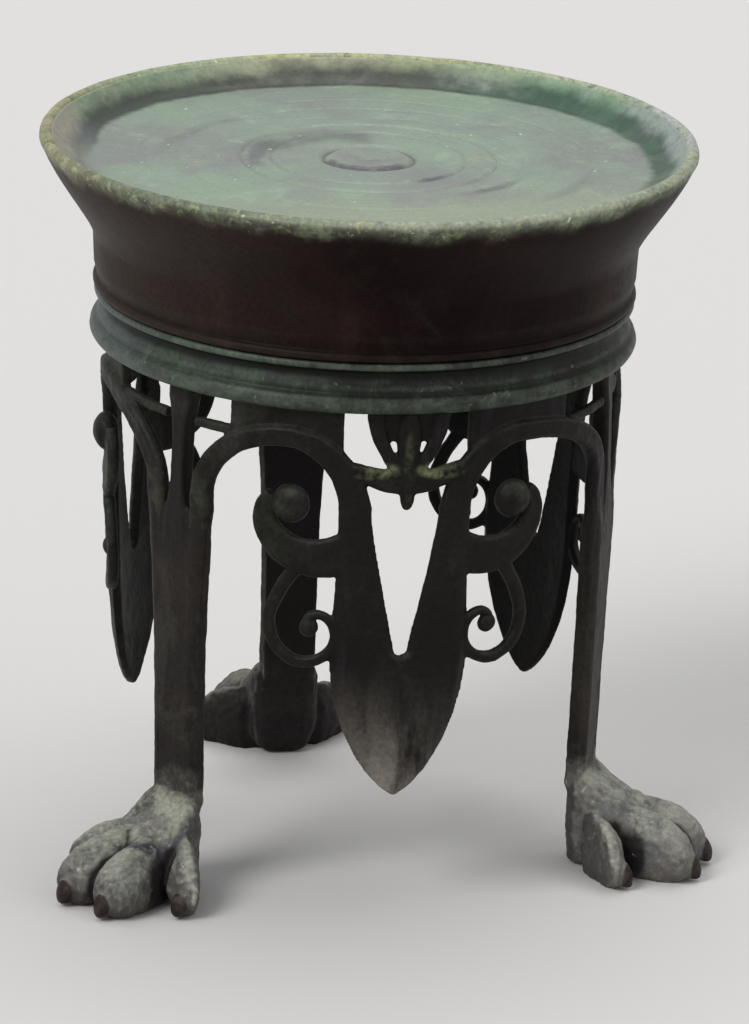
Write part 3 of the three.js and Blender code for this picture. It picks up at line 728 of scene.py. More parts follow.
def leg(name):
    obj = fused(name, [*strap_and_prong(), *paw()], 0.48, 3)
    flat = places_of(obj.data) / MM
    claws, tips = np.zeros(len(flat)), np.zeros(len(flat))
    for side in (-1, 1):
        for tip in (INNER_TIP, OUTER_TIP):
            centre = (side * tip[0], -(tip[1] + 1.8), CLAW_HALF_HEIGHT)
            claws = np.maximum(claws, blob(flat, centre, (3.2, 1.9, 3.8)))
            tips = np.maximum(tips, blob(flat, (side * tip[0], -(tip[1] + 0.5), 2), (7.5, 5.5, 7)))
    store(obj.data, "claw", claws)
    store(obj.data, "tip", tips)
    clefts = np.zeros(len(flat))
    across, radius = np.abs(flat[:, 0]), -flat[:, 1]
    for (start_x, start), (end_x, end), below in CLEFTS:
        off = across - (start_x + (end_x - start_x) * (radius - start) / (end - start))
        reached = np.clip((radius - start) / 5, 0, 1) * np.clip((end + 3 - radius) / 3, 0, 1)
        clefts = np.maximum(clefts, np.exp(-((off / 1.4) ** 2)) * reached * np.clip((below - flat[:, 2]) / 3, 0, 1))
    store(obj.data, "cleft", clefts)
    # Where the painted highlight on the prong's head goes
    store(obj.data, "pale", blob(flat, (0, -PRONG_HEAD_RADIUS - 3, 132), (4, 3, 6)))
    roughened(obj, lambda places: 0.12 + 0.26 * np.clip((32 - places[:, 2]) / 8, 0, 1) * (1 - claws))
    reshape(obj, lambda x, y, z: (x, y, max(z, 0)))
    store_relief(obj, 8)
    store_relief(obj, 60, "hump", 1.2)
    return obj


# Materials


class Graph:
    """Short calls for the nodes of one material."""

    def __init__(self, name):
        self.material = bpy.data.materials.new(name)
        self.material.use_nodes = True
        self.nodes = self.material.node_tree.nodes
        self.links = self.material.node_tree.links
        self.skin = self.nodes["Principled BSDF"]
        self.place = self.nodes.new("ShaderNodeNewGeometry").outputs["Position"]

    def put(self, socket, value):
        if isinstance(value, bpy.types.NodeSocket):
            self.links.new(value, socket)
        elif isinstance(value, tuple):
            socket.default_value = (*value, 1)
        else:
            socket.default_value = value

    def noise(self, scale, detail=6, rough=0.6, distortion=0.0, stretch=1.0):
        """Noise over the surface; stretch is how many times longer its grains are upwards."""
        squeezed = self.nodes.new("ShaderNodeVectorMath")
        squeezed.operation = "MULTIPLY"
        self.links.new(self.place, squeezed.inputs[0])
        squeezed.inputs[1].default_value = (1, 1, 1 / stretch)
        node = self.nodes.new("ShaderNodeTexNoise")
        node.inputs["Scale"].default_value = scale
        node.inputs["Detail"].default_value = detail
        node.inputs["Roughness"].default_value = rough
        node.inputs["Distortion"].default_value = distortion
        self.links.new(squeezed.outputs[0], node.inputs["Vector"])
        return node.outputs["Fac"]

    def ramp(self, source, *stops):
        node = self.nodes.new("ShaderNodeValToRGB")
        while len(node.color_ramp.elements) < len(stops):
            node.color_ramp.elements.new(0.5)
        for element, (place, value) in zip(node.color_ramp.elements, stops):
            element.position = place
            element.color = (*value, 1) if isinstance(value, tuple) else (value, value, value, 1)
        self.links.new(source, node.inputs["Fac"])
        return node.outputs["Color"]

    def mix(self, share, first, second, blend="MIX"):
        node = self.nodes.new("ShaderNodeMix")
        node.data_type = "RGBA"
        node.blend_type = blend
        self.put(node.inputs[0], share)
        self.put(node.inputs[6], first)
        self.put(node.inputs[7], second)
        return node.outputs[2]

    def math(self, operation, first, second=0.0):
        node = self.nodes.new("ShaderNodeMath")
        node.operation = operation
        self.put(node.inputs[0], first)
        self.put(node.inputs[1], second)
        return node.outputs[0]

    def slope(self, source, low, high):
        """0 where the source is at low and 1 where it is at high, smooth between."""
        node = self.nodes.new("ShaderNodeMapRange")
        node.interpolation_type = "SMOOTHSTEP"
        self.put(node.inputs["Value"], source)
        node.inputs["From Min"].default_value = low
        node.inputs["From Max"].default_value = high
        return node.outputs["Result"]

    def wavering(self, source, scale, size):
        """The source moved by noise, up to size either way."""
        return self.math("ADD", source, self.math("MULTIPLY", self.slope(self.noise(scale, 6, 0.65), 0.25, 0.75), size))

    def axis(self, letter):
        node = self.nodes.new("ShaderNodeSeparateXYZ")
        self.links.new(self.place, node.inputs[0])
        return node.outputs[letter]

    def from_axis(self):
        """The distance from the stand's axis."""
        flat = self.nodes.new("ShaderNodeVectorMath")
        flat.operation = "MULTIPLY"
        self.links.new(self.place, flat.inputs[0])
        flat.inputs[1].default_value = (1, 1, 0)
        length = self.nodes.new("ShaderNodeVectorMath")
        length.operation = "LENGTH"
        self.links.new(flat.outputs[0], length.inputs[0])
        return length.outputs["Value"]

    def facing_up(self):
        node = self.nodes.new("ShaderNodeSeparateXYZ")
        self.links.new(self.place.node.outputs["Normal"], node.inputs[0])
        return node.outputs["Z"]

    def outward(self):
        """1 where the surface faces away from the stand's axis, -1 where it faces the axis."""
        flat = self.nodes.new("ShaderNodeVectorMath")
        flat.operation = "MULTIPLY"
        self.links.new(self.place, flat.inputs[0])
        flat.inputs[1].default_value = (1, 1, 0)
        away = self.nodes.new("ShaderNodeVectorMath")
        away.operation = "NORMALIZE"
        self.links.new(flat.outputs[0], away.inputs[0])
        share = self.nodes.new("ShaderNodeVectorMath")
        share.operation = "DOT_PRODUCT"
        self.links.new(away.outputs[0], share.inputs[0])
        self.links.new(self.place.node.outputs["Normal"], share.inputs[1])
        return share.outputs["Value"]

    def stored(self, name):
        node = self.nodes.new("ShaderNodeAttribute")
        node.attribute_name = name
        return node.outputs["Fac"]

    def patina(self, metal, stain, bloom, bloom_share):
        """Two tones of old bronze, and a paler bloom in patches."""
        broad = self.ramp(self.noise(28, 5, 0.6, 0.4), (0.38, 0.0), (0.62, 1.0))
        self.patches = self.ramp(self.noise(80, 8, 0.7, 0.6), (bloom_share, 0.0), (bloom_share + 0.16, 1.0))
        return self.mix(self.patches, self.mix(broad, metal, stain), bloom)

    def shade_and_wear(self, colour, hollow_shade_and_dirt, edge, strength=1.0):
        """Painted shade and dirt in the hollows, and paler metal on the edges, partly wear and partly painted
        highlight.
        """
        proud = self.stored("proud")
        colour = self.mix(self.ramp(proud, (0.14, 1.0), (0.42, 0.0)), colour, hollow_shade_and_dirt)
        rubs = self.ramp(self.noise(170, 6, 0.65), (0.36, 0.15 * strength), (0.62, strength))
        rubbed_and_lit = self.math("MULTIPLY", self.ramp(proud, (0.58, 0.0), (0.86, 1.0)), rubs)
        return self.mix(rubbed_and_lit, colour, edge)

    def finished(self, colour, rough, metallic, specular, grain, speckled=1.0):
        """Fine specks over the colour, roughness from the bloom, and a cast surface's grain."""
        specks = self.ramp(self.noise(850, 3, 0.6), (0.3, 1 - 0.26 * speckled), (0.7, 1 + 0.18 * speckled))
        self.put(self.skin.inputs["Base Color"], self.mix(1.0, colour, specks, "MULTIPLY"))
        self.put(self.skin.inputs["Roughness"], self.ramp(self.patches, (0.0, rough), (1.0, rough + 0.26)))
        self.skin.inputs["Metallic"].default_value = metallic
        self.skin.inputs["Specular IOR Level"].default_value = specular
        bump = self.nodes.new("ShaderNodeBump")
        bump.inputs["Strength"].default_value = grain
        bump.inputs["Distance"].default_value = 0.0006
        self.put(bump.inputs["Height"], self.noise(420, 6, 0.65))
        self.put(self.skin.inputs["Normal"], bump.outputs["Normal"])
        return self.material


# Dark arcs in the dish: start and end angle, the radius at both, half the width, and the strength
DISH_STAINS = [
    (1.15, 2.85, 0.02, 0.0312, 0.0085, 0.58), (2.2, 3.5, 0.0288, 0.0322, 0.0034, 0.5),
    (-1.45, -0.7, 0.0262, 0.0262, 0.002, 0.85), (-1.3, -0.55, 0.0425, 0.043, 0.0022, 0.75),
    (1.9, 3.1, 0.049, 0.056, 0.003, 0.22), (-1.1, -0.3, 0.058, 0.06, 0.003, 0.3),
    (-3.3, -0.6, 0.0122, 0.0122, 0.0027, 1),
]
# Pale arcs by the rim, given in the same way; the one at the back is a painted highlight
DISH_GLEAMS = [
    (0.72, 1.12, 0.0795, 0.0795, 0.003, 0.8), (-1.45, -0.5, 0.074, 0.0745, 0.0022, 0.55),
    (-1.25, -0.75, 0.0728, 0.0728, 0.003, 0.55),
]


def dish_material():
    """Grey-green floor with purple-grey stains; a slope that pales up to the lip, with painted shade and some dirt at
    its foot, darkest at the back, and a painted highlight by the rim at the back.
    """
    g = Graph("dish_bronze")
    colour = g.patina((0.245, 0.325, 0.243), (0.215, 0.245, 0.22), (0.305, 0.395, 0.3), 0.54)
    purple = g.math("MULTIPLY", g.slope(g.noise(21, 5, 0.65, 0.8), 0.5, 0.66), g.slope(g.noise(140, 5, 0.7), 0.3, 0.6))
    colour = g.mix(g.math("MULTIPLY", purple, 0.75), colour, (0.218, 0.205, 0.22))
    radius = g.wavering(g.from_axis(), 60, 0.0025)
    round_axis = g.math("ARCTAN2", g.axis("Y"), g.axis("X"))
    blotches = g.slope(g.noise(60, 6, 0.7), 0.26, 0.56)

    def arc_share(start, end, first, last, half, share):
        turned = g.math("FLOORED_MODULO", g.math("SUBTRACT", round_axis, start), 2 * math.pi)
        middle = g.math("ADD", g.math("MULTIPLY", turned, (last - first) / (end - start)), first)
        off = g.math("ABSOLUTE", g.math("SUBTRACT", radius, middle))
        shown = g.math("MULTIPLY", g.slope(off, half, half * 0.3), g.slope(turned, 0, 0.3))
        shown = g.math("MULTIPLY", shown, g.slope(turned, end - start, end - start - 0.4))
        return g.math("MULTIPLY", g.math("MULTIPLY", shown, blotches), share)

    for stain in DISH_STAINS:
        colour = g.mix(arc_share(*stain), colour, (0.078, 0.075, 0.092))
    middle = g.slope(g.wavering(g.from_axis(), 50, 0.008), 0.021, 0.007)
    middle = g.math("MULTIPLY", middle, g.slope(g.noise(90, 6, 0.7), 0.36, 0.6))
    colour = g.mix(g.math("MULTIPLY", middle, 0.8), colour, (0.2, 0.18, 0.19))
    green = g.slope(g.axis("Y"), -0.02, -0.07)
    colour = g.mix(g.math("MULTIPLY", green, 0.6), colour, (0.325, 0.345, 0.245))
    yellow = g.math("MULTIPLY", g.slope(g.noise(52, 5, 0.7), 0.6, 0.72), 0.5)
    colour = g.mix(yellow, colour, (0.36, 0.36, 0.2))
    colour = g.mix(g.slope(g.noise(360, 3, 0.5), 0.7, 0.76), colour, (0.62, 0.66, 0.56))
    climb = g.wavering(g.from_axis(), 90, 0.0018)
    across = g.wavering(g.axis("X"), 34, 0.018)
    teal = g.slope(across, 0.035, 0.085)
    north_west = g.slope(across, 0.003, -0.025)
    west = g.slope(across, -0.045, -0.064)
    east = g.slope(across, 0.079, 0.091)
    tilted = g.math("ADD", g.axis("Y"), g.math("MULTIPLY", g.axis("X"), 0.42))
    behind = g.slope(g.wavering(tilted, 50, 0.006), -0.022, 0.011)
    ends = g.math("MAXIMUM", west, east)
    mottled = g.slope(g.noise(120, 6, 0.7), 0.42, 0.64)
    # Painted shade, with some dirt, at the foot of the slope: darkest at the back and back-left, paler at the front
    paler = g.mix(teal, (0.1, 0.112, 0.086), (0.075, 0.15, 0.1))
    dark = g.mix(teal, (0.048, 0.054, 0.042), (0.036, 0.088, 0.052))
    dark = g.mix(g.math("MULTIPLY", mottled, 0.7), dark, paler)
    dark = g.mix(g.math("MULTIPLY", north_west, 0.8), dark, (0.03, 0.042, 0.032))
    dark = g.mix(ends, dark, (0.08, 0.094, 0.094))
    dark = g.mix(behind, (0.19, 0.205, 0.165), dark)
    rise = g.mix(g.slope(across, 0.02, 0.046), (0.37, 0.385, 0.26), (0.3, 0.33, 0.19))
    rise = g.mix(teal, rise, (0.265, 0.385, 0.26))
    rise = g.mix(north_west, rise, (0.23, 0.31, 0.205))
    rise = g.mix(west, rise, (0.33, 0.305, 0.245))
    rise = g.mix(east, rise, (0.32, 0.365, 0.345))
    rise = g.mix(g.math("MULTIPLY", mottled, 0.3), rise, g.mix(teal, (0.2, 0.24, 0.16), (0.17, 0.29, 0.2)))
    grain = g.slope(g.noise(330, 4, 0.6), 0.5, 0.62)
    rise = g.mix(g.math("MULTIPLY", grain, 0.3), rise, (0.11, 0.15, 0.105))
    steeper = g.math("MULTIPLY", g.slope(across, -0.004, 0.012), 0.0013)
    lower = g.math("SUBTRACT", g.math("MULTIPLY", ends, 0.0022), steeper)
    slope = g.mix(g.slope(g.math("ADD", climb, lower), 0.0778, 0.0822), dark, rise)
    edge = g.math("ADD", climb, g.math("MULTIPLY", g.math("MULTIPLY", ends, behind), 0.003))
    # The slope's colour, with its painted shade, runs a little way onto the floor by the foot
    colour = g.mix(g.slope(edge, 0.0722, 0.0752), colour, slope)
    # Pale arcs by the rim; the one at the back is a painted highlight
    for gleam in DISH_GLEAMS:
        colour = g.mix(arc_share(*gleam), colour, (0.5, 0.55, 0.46))
    colour = g.shade_and_wear(colour, (0.06, 0.056, 0.052), (0.36, 0.38, 0.27), 0.7)
    return g.finished(colour, 0.46, 0.25, 0.4, 0.2, 0.45)


def wall_material():
    """Near-black red-brown wall, paler on the left as painted light, with a green and brassy lip that fades down
    unevenly; the lip's tones are partly patina and partly painted light, brightest at the back, with a painted
    highlight along the top of the front lip.
    """
    g = Graph("wall_bronze")
    colour = g.patina((0.0078, 0.003, 0.0034), (0.0145, 0.0072, 0.0064), (0.012, 0.0115, 0.009), 0.6)
    streaks = g.slope(g.noise(48, 5, 0.65, 0.5, stretch=4), 0.5, 0.72)
    colour = g.mix(g.math("MULTIPLY", streaks, 0.5), colour, (0.03, 0.0165, 0.0135))
    # Painted light: the wall paler on the left, where the key light falls
    left = g.math("MULTIPLY", g.slope(g.axis("X"), -0.02, -0.072), 0.6)
    colour = g.mix(left, colour, (0.038, 0.027, 0.022))
    colour = g.shade_and_wear(colour, (0.004, 0.003, 0.003), (0.05, 0.055, 0.04), 0.5)
    side = g.axis("X")
    # The lip's tones round the stand are partly patina and partly painted light, brightest and brassiest at the back
    behind = g.mix(g.slope(g.noise(90, 5, 0.7), 0.42, 0.6), (0.47, 0.48, 0.24), (0.4, 0.42, 0.29))
    behind = g.mix(g.math("MULTIPLY", g.slope(side, -0.005, -0.03), 0.8), behind, (0.3, 0.38, 0.25))
    left = g.mix(g.slope(g.noise(75, 5, 0.7, 0.5), 0.44, 0.6), (0.37, 0.33, 0.225), (0.27, 0.29, 0.16))
    right = g.mix(g.slope(g.noise(75, 5, 0.7, 0.5), 0.44, 0.6), (0.39, 0.44, 0.31), (0.3, 0.38, 0.27))
    right = g.mix(g.slope(g.wavering(side, 60, 0.006), 0.078, 0.086), right, (0.42, 0.435, 0.42))
    front = g.mix(g.slope(side, -0.05, 0.02), (0.12, 0.12, 0.09), (0.2, 0.215, 0.165))
    front = g.mix(g.slope(side, 0.03, 0.065), front, (0.15, 0.2, 0.11))
    front = g.mix(g.slope(g.noise(70, 5, 0.7), 0.46, 0.62), front, (0.25, 0.3, 0.2))
    top = RIM_TOP - SEAT
    left = g.mix(g.slope(g.axis("Y"), 0.012, -0.03), left, (0.2, 0.205, 0.14))
    # Painted highlight along the top of the front lip
    crest = g.math("MULTIPLY", g.slope(g.axis("Z"), (top - 2.2) * MM, (top - 0.9) * MM), 0.9)
    front = g.mix(crest, front, g.mix(g.slope(side, -0.064, 0), (0.19, 0.215, 0.15), (0.355, 0.375, 0.29)))
    lip = g.mix(g.slope(side, -0.035, -0.07), behind, left)
    lip = g.mix(g.slope(side, 0.03, 0.066), lip, right)
    lip = g.mix(g.slope(g.axis("Y"), -0.012, -0.05), lip, front)
    lip = g.mix(g.math("MULTIPLY", g.slope(g.noise(130, 6, 0.7), 0.52, 0.66), 0.55), lip, (0.085, 0.095, 0.07))
    lip = g.mix(g.math("MULTIPLY", g.slope(g.noise(340, 4, 0.6), 0.5, 0.62), 0.4), lip, (0.12, 0.165, 0.1))
    lip = g.mix(g.math("MULTIPLY", g.slope(g.noise(290, 4, 0.6, 0.5), 0.54, 0.64), 0.45), lip, (0.46, 0.49, 0.27))
    lip = g.mix(g.slope(g.noise(460, 3, 0.5), 0.66, 0.74), lip, (0.62, 0.64, 0.52))
    share = g.slope(g.wavering(g.axis("Z"), 70, 0.0026), (top - 5.8) * MM, (top + 0.6) * MM)
    colour = g.mix(g.math("POWER", share, 1.6), colour, lip)
    return g.finished(colour, 0.46, 0.1, 0.05, 0.16)


def ring_material():
    """Dark green mouldings with paler ridges, partly wear and partly painted highlight; painted light on the left,
    painted shade on the right and in the cove.
    """
    g = Graph("ring_bronze")
    colour = g.patina((0.018, 0.02, 0.017), (0.012, 0.012, 0.01), (0.04, 0.049, 0.04), 0.55)
    green = g.math("MULTIPLY", g.slope(g.noise(58, 6, 0.65, 0.4), 0.5, 0.64), 0.6)
    colour = g.mix(green, colour, (0.038, 0.058, 0.036))
    left = g.math("MULTIPLY", g.slope(g.axis("X"), -0.02, -0.07), 0.75)
    lit = g.mix(g.patches, (0.056, 0.068, 0.058), (0.115, 0.14, 0.11))
    lit = g.mix(green, lit, (0.07, 0.115, 0.072))
    lit = g.mix(g.math("MULTIPLY", g.slope(g.axis("X"), -0.062, -0.07), 0.5), lit, (0.105, 0.125, 0.14))
    colour = g.mix(left, colour, lit)
    # Painted shade: the ring darker on the right
    right = g.math("MULTIPLY", g.slope(g.axis("X"), 0.015, 0.06), 0.75)
    colour = g.mix(right, colour, (0.0085, 0.0085, 0.006))
    height = g.wavering(g.axis("Z"), 160, 0.0006)
    # Painted shade in the cove below the top bead
    cove_top, cove_foot = (RING_TOP - SEAT - 1.7) * MM, (RING_TOP - SEAT - 5.2) * MM
    cove = g.math("MULTIPLY", g.slope(height, cove_top + 0.0004, cove_top - 0.0004), g.slope(height, cove_foot, cove_foot + 0.0016))
    colour = g.mix(g.math("MULTIPLY", cove, 0.85), colour, (0.0065, 0.006, 0.0065))
    # Painted shade just above the cove, on the right
    above = g.math("MULTIPLY", g.slope(height, cove_top, cove_top + 0.0006), g.slope(g.axis("X"), -0.005, 0.04))
    colour = g.mix(g.math("MULTIPLY", above, 0.75), colour, (0.012, 0.0125, 0.01))
    # Paler ridges and pale flecks on them, partly wear and partly painted highlight
    colour = g.shade_and_wear(colour, (0.004, 0.004, 0.004), (0.15, 0.18, 0.14))
    flecks = g.math("MULTIPLY", g.slope(g.noise(540, 4, 0.6), 0.6, 0.78), g.slope(g.stored("proud"), 0.5, 0.62))
    colour = g.mix(flecks, colour, (0.14, 0.165, 0.13))
    return g.finished(colour, 0.44, 0.12, 0.11, 0.22)


ORNAMENT_TONES = [(0.012, 0.01, 0.009), (0.0075, 0.007, 0.0065), (0.022, 0.0225, 0.018)]


def leg_material():
    """Dark brown-grey straps; paws under a pale mottled crust, with dark claws, painted highlights on their tops and
    ridges, and painted shade in the clefts, near the floor, on faces turned to the middle and on the back leg.
    """
    g = Graph("leg_bronze")
    colour = g.patina((0.024, 0.0185, 0.0155), (0.014, 0.0115, 0.01), (0.038, 0.035, 0.029), 0.54)
    streaks = g.slope(g.noise(90, 6, 0.7, 0.4, stretch=5), 0.5, 0.66)
    colour = g.mix(g.math("MULTIPLY", streaks, 0.6), colour, (0.042, 0.038, 0.031))
    colour = g.shade_and_wear(colour, (0.006, 0.005, 0.005), (0.055, 0.055, 0.044), 0.8)
    # Painted shade on faces turned to the stand's middle
    inward = g.slope(g.outward(), -0.05, -0.5)
    colour = g.mix(g.math("MULTIPLY", inward, 0.6), colour, (0.008, 0.006, 0.006))
    # Painted highlight on the prong's head
    head = g.math("MULTIPLY", g.stored("pale"), g.slope(g.noise(160, 5, 0.7), 0.35, 0.6))
    colour = g.mix(g.math("MULTIPLY", head, 0.8), colour, (0.078, 0.088, 0.064))
    shoulders = g.slope(g.wavering(g.axis("Z"), 90, 0.01), (86 - SEAT) * MM, (103 - SEAT) * MM)
    colour = g.mix(g.math("MULTIPLY", shoulders, 0.85), colour, g.mix(streaks, ORNAMENT_TONES[0], ORNAMENT_TONES[2]))
    height = g.wavering(g.axis("Z"), 110, 0.008)
    crusted = g.slope(height, (37 - SEAT) * MM, (27 - SEAT) * MM)
    crust = g.mix(g.slope(g.noise(150, 7, 0.7), 0.38, 0.62), (0.085, 0.082, 0.073), (0.17, 0.168, 0.148))
    crust = g.mix(g.slope(g.noise(64, 5, 0.65, 0.6), 0.5, 0.6), crust, (0.052, 0.053, 0.063))
    proud = g.stored("proud")
    hump = g.stored("hump")
    # Painted highlight on upward faces
    top_highlight = g.math("MULTIPLY", g.slope(g.facing_up(), 0.1, 0.75), g.slope(g.noise(120, 6, 0.7), 0.36, 0.58))
    instep = g.slope(g.axis("Z"), (7 - SEAT) * MM, (18 - SEAT) * MM)
    crust = g.mix(top_highlight, crust, g.mix(instep, (0.19, 0.189, 0.17), (0.305, 0.31, 0.25)))
    blots = g.math("MULTIPLY", g.slope(g.noise(74, 6, 0.65, 0.9), 0.52, 0.62), 0.62)
    crust = g.mix(blots, crust, (0.064, 0.065, 0.084))
    # Painted highlight on the proudest ridges
    crust = g.mix(g.slope(proud, 0.56, 0.8), crust, (0.38, 0.375, 0.325))
    # Painted shade in the low ground between the humps
    crust = g.mix(g.math("MULTIPLY", g.slope(hump, 0.45, 0.3), 0.7), crust, (0.05, 0.046, 0.042))
    # Painted shade, with some dirt, in the hollows
    crust = g.mix(g.slope(proud, 0.42, 0.22), crust, (0.028, 0.024, 0.021))
    # Painted shade near the floor, along the foot of the toes
    foot = g.slope(g.wavering(g.axis("Z"), 140, 0.004), (8.5 - SEAT) * MM, (3.5 - SEAT) * MM)
    crust = g.mix(g.math("MULTIPLY", foot, 0.75), crust, (0.055, 0.041, 0.037))
    # Painted shade round the lower front of the toe tips
    tip = g.math("MULTIPLY", g.stored("tip"), g.slope(g.noise(130, 6, 0.7), 0.3, 0.6))
    crust = g.mix(g.math("MULTIPLY", tip, 0.5), crust, (0.062, 0.052, 0.047))
    crust = g.mix(g.math("MULTIPLY", g.slope(g.axis("X"), 0.03, 0.06), 0.27), crust, (0.3, 0.295, 0.265))
    # Painted shade on faces turned to the middle, over the crust
    crust = g.mix(g.math("MULTIPLY", inward, 0.75), crust, (0.036, 0.032, 0.03))
    # Painted shade in the clefts between the toes
    crust = g.mix(g.slope(g.stored("cleft"), 0.1, 0.75), crust, (0.024, 0.021, 0.021))
    # Pale specks on the upward-facing humps: crust specks and painted glints
    pale_specks_and_glints = g.math("MULTIPLY", g.slope(g.noise(560, 4, 0.6), 0.6, 0.74), g.slope(hump, 0.46, 0.6))
    pale_specks_and_glints = g.math("MULTIPLY", pale_specks_and_glints, g.slope(g.facing_up(), -0.05, 0.4))
    crust = g.mix(g.math("MULTIPLY", pale_specks_and_glints, 0.75), crust, (0.4, 0.41, 0.375))
    crust = g.mix(g.slope(g.noise(430, 4, 0.6), 0.68, 0.78), crust, (0.42, 0.42, 0.37))
    colour = g.mix(crusted, colour, crust)
    claws = g.mix(g.slope(g.noise(220, 5, 0.6), 0.4, 0.65), (0.024, 0.017, 0.015), (0.062, 0.052, 0.046))
    colour = g.mix(g.slope(g.stored("claw"), 0.1, 0.8), colour, claws)
    # Painted shade on the back leg, deepest on faces turned to the middle
    rear = g.math("MULTIPLY", g.slope(g.axis("Y"), 0.045, 0.062), g.math("ADD", g.math("MULTIPLY", inward, 0.35), 0.5))
    colour = g.mix(rear, colour, (0.011, 0.008, 0.008))
    return g.finished(colour, 0.5, 0.08, 0.12, 0.3)


def ornament_material():
    """Dark olive to grey-purple castings with paler lit edges, painted highlights on upward faces and along the saddle,
    and painted shade on faces turned to the middle.
    """
    g = Graph("ornament_bronze")
    colour = g.patina(*ORNAMENT_TONES, 0.56)
    streaks = g.math("MULTIPLY", g.slope(g.noise(60, 4, 0.6, 1.2, stretch=3), 0.54, 0.68), 0.7)
    colour = g.mix(streaks, colour, (0.022, 0.016, 0.021))
    west = g.math("MULTIPLY", g.slope(g.axis("X"), -0.02, -0.06), g.slope(g.noise(95, 8, 0.75), 0.38, 0.68))
    colour = g.mix(g.math("MULTIPLY", west, 0.65), colour, (0.052, 0.057, 0.04))
    colour = g.shade_and_wear(colour, (0.004, 0.0035, 0.0035), (0.034, 0.036, 0.028), 0.6)
    # Painted highlight on upward faces
    top_highlight = g.math("MULTIPLY", g.slope(g.facing_up(), 0.15, 0.8), g.slope(g.noise(150, 6, 0.7), 0.3, 0.6))
    colour = g.mix(g.math("MULTIPLY", top_highlight, 0.55), colour, (0.045, 0.049, 0.047))
    mottle = g.math("MULTIPLY", g.stored("pale"), g.slope(g.noise(130, 6, 0.7, stretch=4), 0.22, 0.62))
    mottle = g.math("MULTIPLY", mottle, g.slope(g.outward(), -0.1, 0.5))
    colour = g.mix(mottle, colour, (0.26, 0.235, 0.205))
    # Painted shade on faces turned to the stand's middle
    inward = g.math("MULTIPLY", g.slope(g.outward(), 0, -0.5), 0.6)
    colour = g.mix(inward, colour, (0.006, 0.005, 0.005))
    # Painted highlight on the saddle's top edge, the volute knobs and the palmette's middle
    gleam = g.math("MULTIPLY", g.stored("painted_gleam"), g.slope(g.noise(170, 6, 0.7), 0.4, 0.7))
    colour = g.mix(gleam, colour, (0.15, 0.165, 0.085))
    return g.finished(colour, 0.5, 0.08, 0.09, 0.26)


def pin_material():
    """Drawn bronze, dull brown with brassy rubs."""
    g = Graph("pin_bronze")
    colour = g.patina((0.16, 0.11, 0.06), (0.1, 0.075, 0.045), (0.2, 0.19, 0.12), 0.6)
    return g.finished(colour, 0.38, 0.6, 0.5, 0.15)


dress(dish_plate(), dish_material(), "dish_bronze", "dish_plate")
dress(drum_wall(), wall_material(), "wall_bronze", "drum_wall")
dress(base_ring(), ring_material(), "ring_bronze", "base_ring")


def copies(first, angles, material, slot):
    """The first piece and its copies, each turned to its own place round the stand."""
    for count, (node, angle) in enumerate(angles.items()):
        obj = bpy.data.objects.new(node + "_bronze", first.data.copy())
        bpy.context.scene.collection.objects.link(obj)
        obj.data.transform(Matrix.Rotation(math.radians(angle), 4, "Z"))
        dress(obj, material, slot, node)
    bpy.data.objects.remove(first)


copies(leg("leg"), LEG_ANGLES, leg_material(), "leg_bronze")
copies(ornament("ornament"), ORNAMENT_ANGLES, ornament_material(), "ornament_bronze")
pin_bronze = pin_material()
for node_name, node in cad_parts.items():
    if node_name.startswith("pin_"):
        node.data.materials.clear()
        node.data.materials.append(pin_bronze)

# Floor and light


def stage_floor():
    """A wide round floor, so that the view ends in it from every side."""
    points = [(0, 0, -SEAT * MM)]
    sides = 96
    for k in range(sides):
        turn = 2 * math.pi * k / sides
        points.append((8 * math.cos(turn), 8 * math.sin(turn), -SEAT * MM))
    faces = [(0, k + 1, (k + 1) % sides + 1) for k in range(sides)]
    mesh = bpy.data.meshes.new("floor")
    mesh.from_pydata(points, [], faces)
    floor = bpy.data.objects.new("floor", mesh)
    bpy.context.scene.collection.objects.link(floor)
    g = Graph("floor_pale")
    g.skin.inputs["Base Color"].default_value = (0.66, 0.65, 0.63, 1)
    g.skin.inputs["Roughness"].default_value = 0.9
    mesh.materials.append(g.material)


def lamp(name, direction, strength, softness):
    """Even studio light from one side; softness is the angle that the light seems to fill."""
    light = bpy.data.lights.new(name, "SUN")
    light.energy = strength
    light.angle = math.radians(softness)
    obj = bpy.data.objects.new(name, light)
    bpy.context.scene.collection.objects.link(obj)
    obj.location = Vector(direction)
    obj.rotation_euler = Vector(direction).to_track_quat("Z", "Y").to_euler()


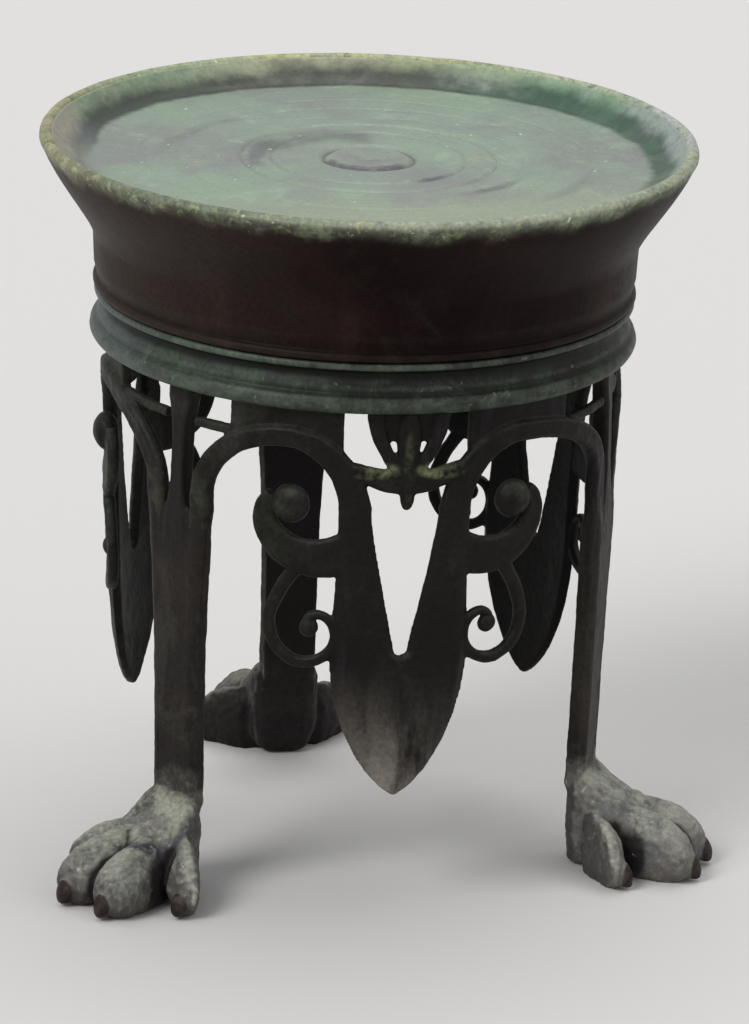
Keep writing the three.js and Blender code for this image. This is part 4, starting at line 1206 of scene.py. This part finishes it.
def room():
    """An even room, shown paler to the camera and in reflections than it lights."""
    world = bpy.data.worlds.new("room")
    bpy.context.scene.world = world
    world.use_nodes = True
    nodes, links = world.node_tree.nodes, world.node_tree.links
    lit = nodes["Background"]
    lit.inputs["Color"].default_value = (0.95, 0.96, 1, 1)
    lit.inputs["Strength"].default_value = 0.38
    shown = nodes.new("ShaderNodeBackground")
    shown.inputs["Color"].default_value = (0.95, 0.95, 0.95, 1)
    shown.inputs["Strength"].default_value = 0.76
    path = nodes.new("ShaderNodeLightPath")
    seen = nodes.new("ShaderNodeMath")
    seen.operation = "MAXIMUM"
    links.new(path.outputs["Is Camera Ray"], seen.inputs[0])
    both = nodes.new("ShaderNodeMath")
    both.operation = "MAXIMUM"
    links.new(path.outputs["Is Glossy Ray"], both.inputs[0])
    links.new(path.outputs["Is Transmission Ray"], both.inputs[1])
    links.new(both.outputs[0], seen.inputs[1])
    blend = nodes.new("ShaderNodeMixShader")
    links.new(seen.outputs[0], blend.inputs[0])
    links.new(lit.outputs[0], blend.inputs[1])
    links.new(shown.outputs[0], blend.inputs[2])
    links.new(blend.outputs[0], nodes["World Output"].inputs["Surface"])


stage_floor()
lamp("key", (-1.3, -0.7, 1.3), 1.7, 28)
lamp("fill", (1.3, -0.9, 0.7), 0.45, 50)
lamp("top", (0.2, 0.4, 1.6), 1.1, 50)
room()

# Camera at the photograph's view

CAMERA_DISTANCE = 2.04
CAMERA_ELEVATION = 17.826
CAMERA_TURN = -16
CAMERA_AIM_HEIGHT = 85
CAMERA_YAW, CAMERA_PITCH, CAMERA_ROLL = 0.132, 0.097, 1.991
CAMERA_LENS = 274.25


def tilted(first, second, degrees):
    """Two directions at right angles, turned towards each other."""
    turn = math.radians(degrees)
    return (
        first * math.cos(turn) + second * math.sin(turn),
        second * math.cos(turn) - first * math.sin(turn),
    )


def view_camera():
    rise, turn = math.radians(CAMERA_ELEVATION), math.radians(CAMERA_TURN)
    back = Vector((math.sin(turn) * math.cos(rise), -math.cos(turn) * math.cos(rise), math.sin(rise)))
    forward = -back
    right = Vector((math.cos(turn), math.sin(turn), 0))
    up = right.cross(forward)
    forward, right = tilted(forward, right, CAMERA_YAW)
    forward, up = tilted(forward, up, CAMERA_PITCH)
    right, up = tilted(right, up, CAMERA_ROLL)
    camera = bpy.data.cameras.new("photo_view")
    camera.lens = CAMERA_LENS
    camera.sensor_width = 36
    obj = bpy.data.objects.new("photo_view", camera)
    bpy.context.scene.collection.objects.link(obj)
    place = Vector((0, 0, (CAMERA_AIM_HEIGHT - SEAT) * MM)) + back * CAMERA_DISTANCE
    turned = Matrix((right, up, -forward)).transposed().to_4x4()
    obj.matrix_world = Matrix.Translation(place) @ turned
    bpy.context.scene.camera = obj


view_camera()
bpy.context.scene.view_settings.view_transform = "Standard"
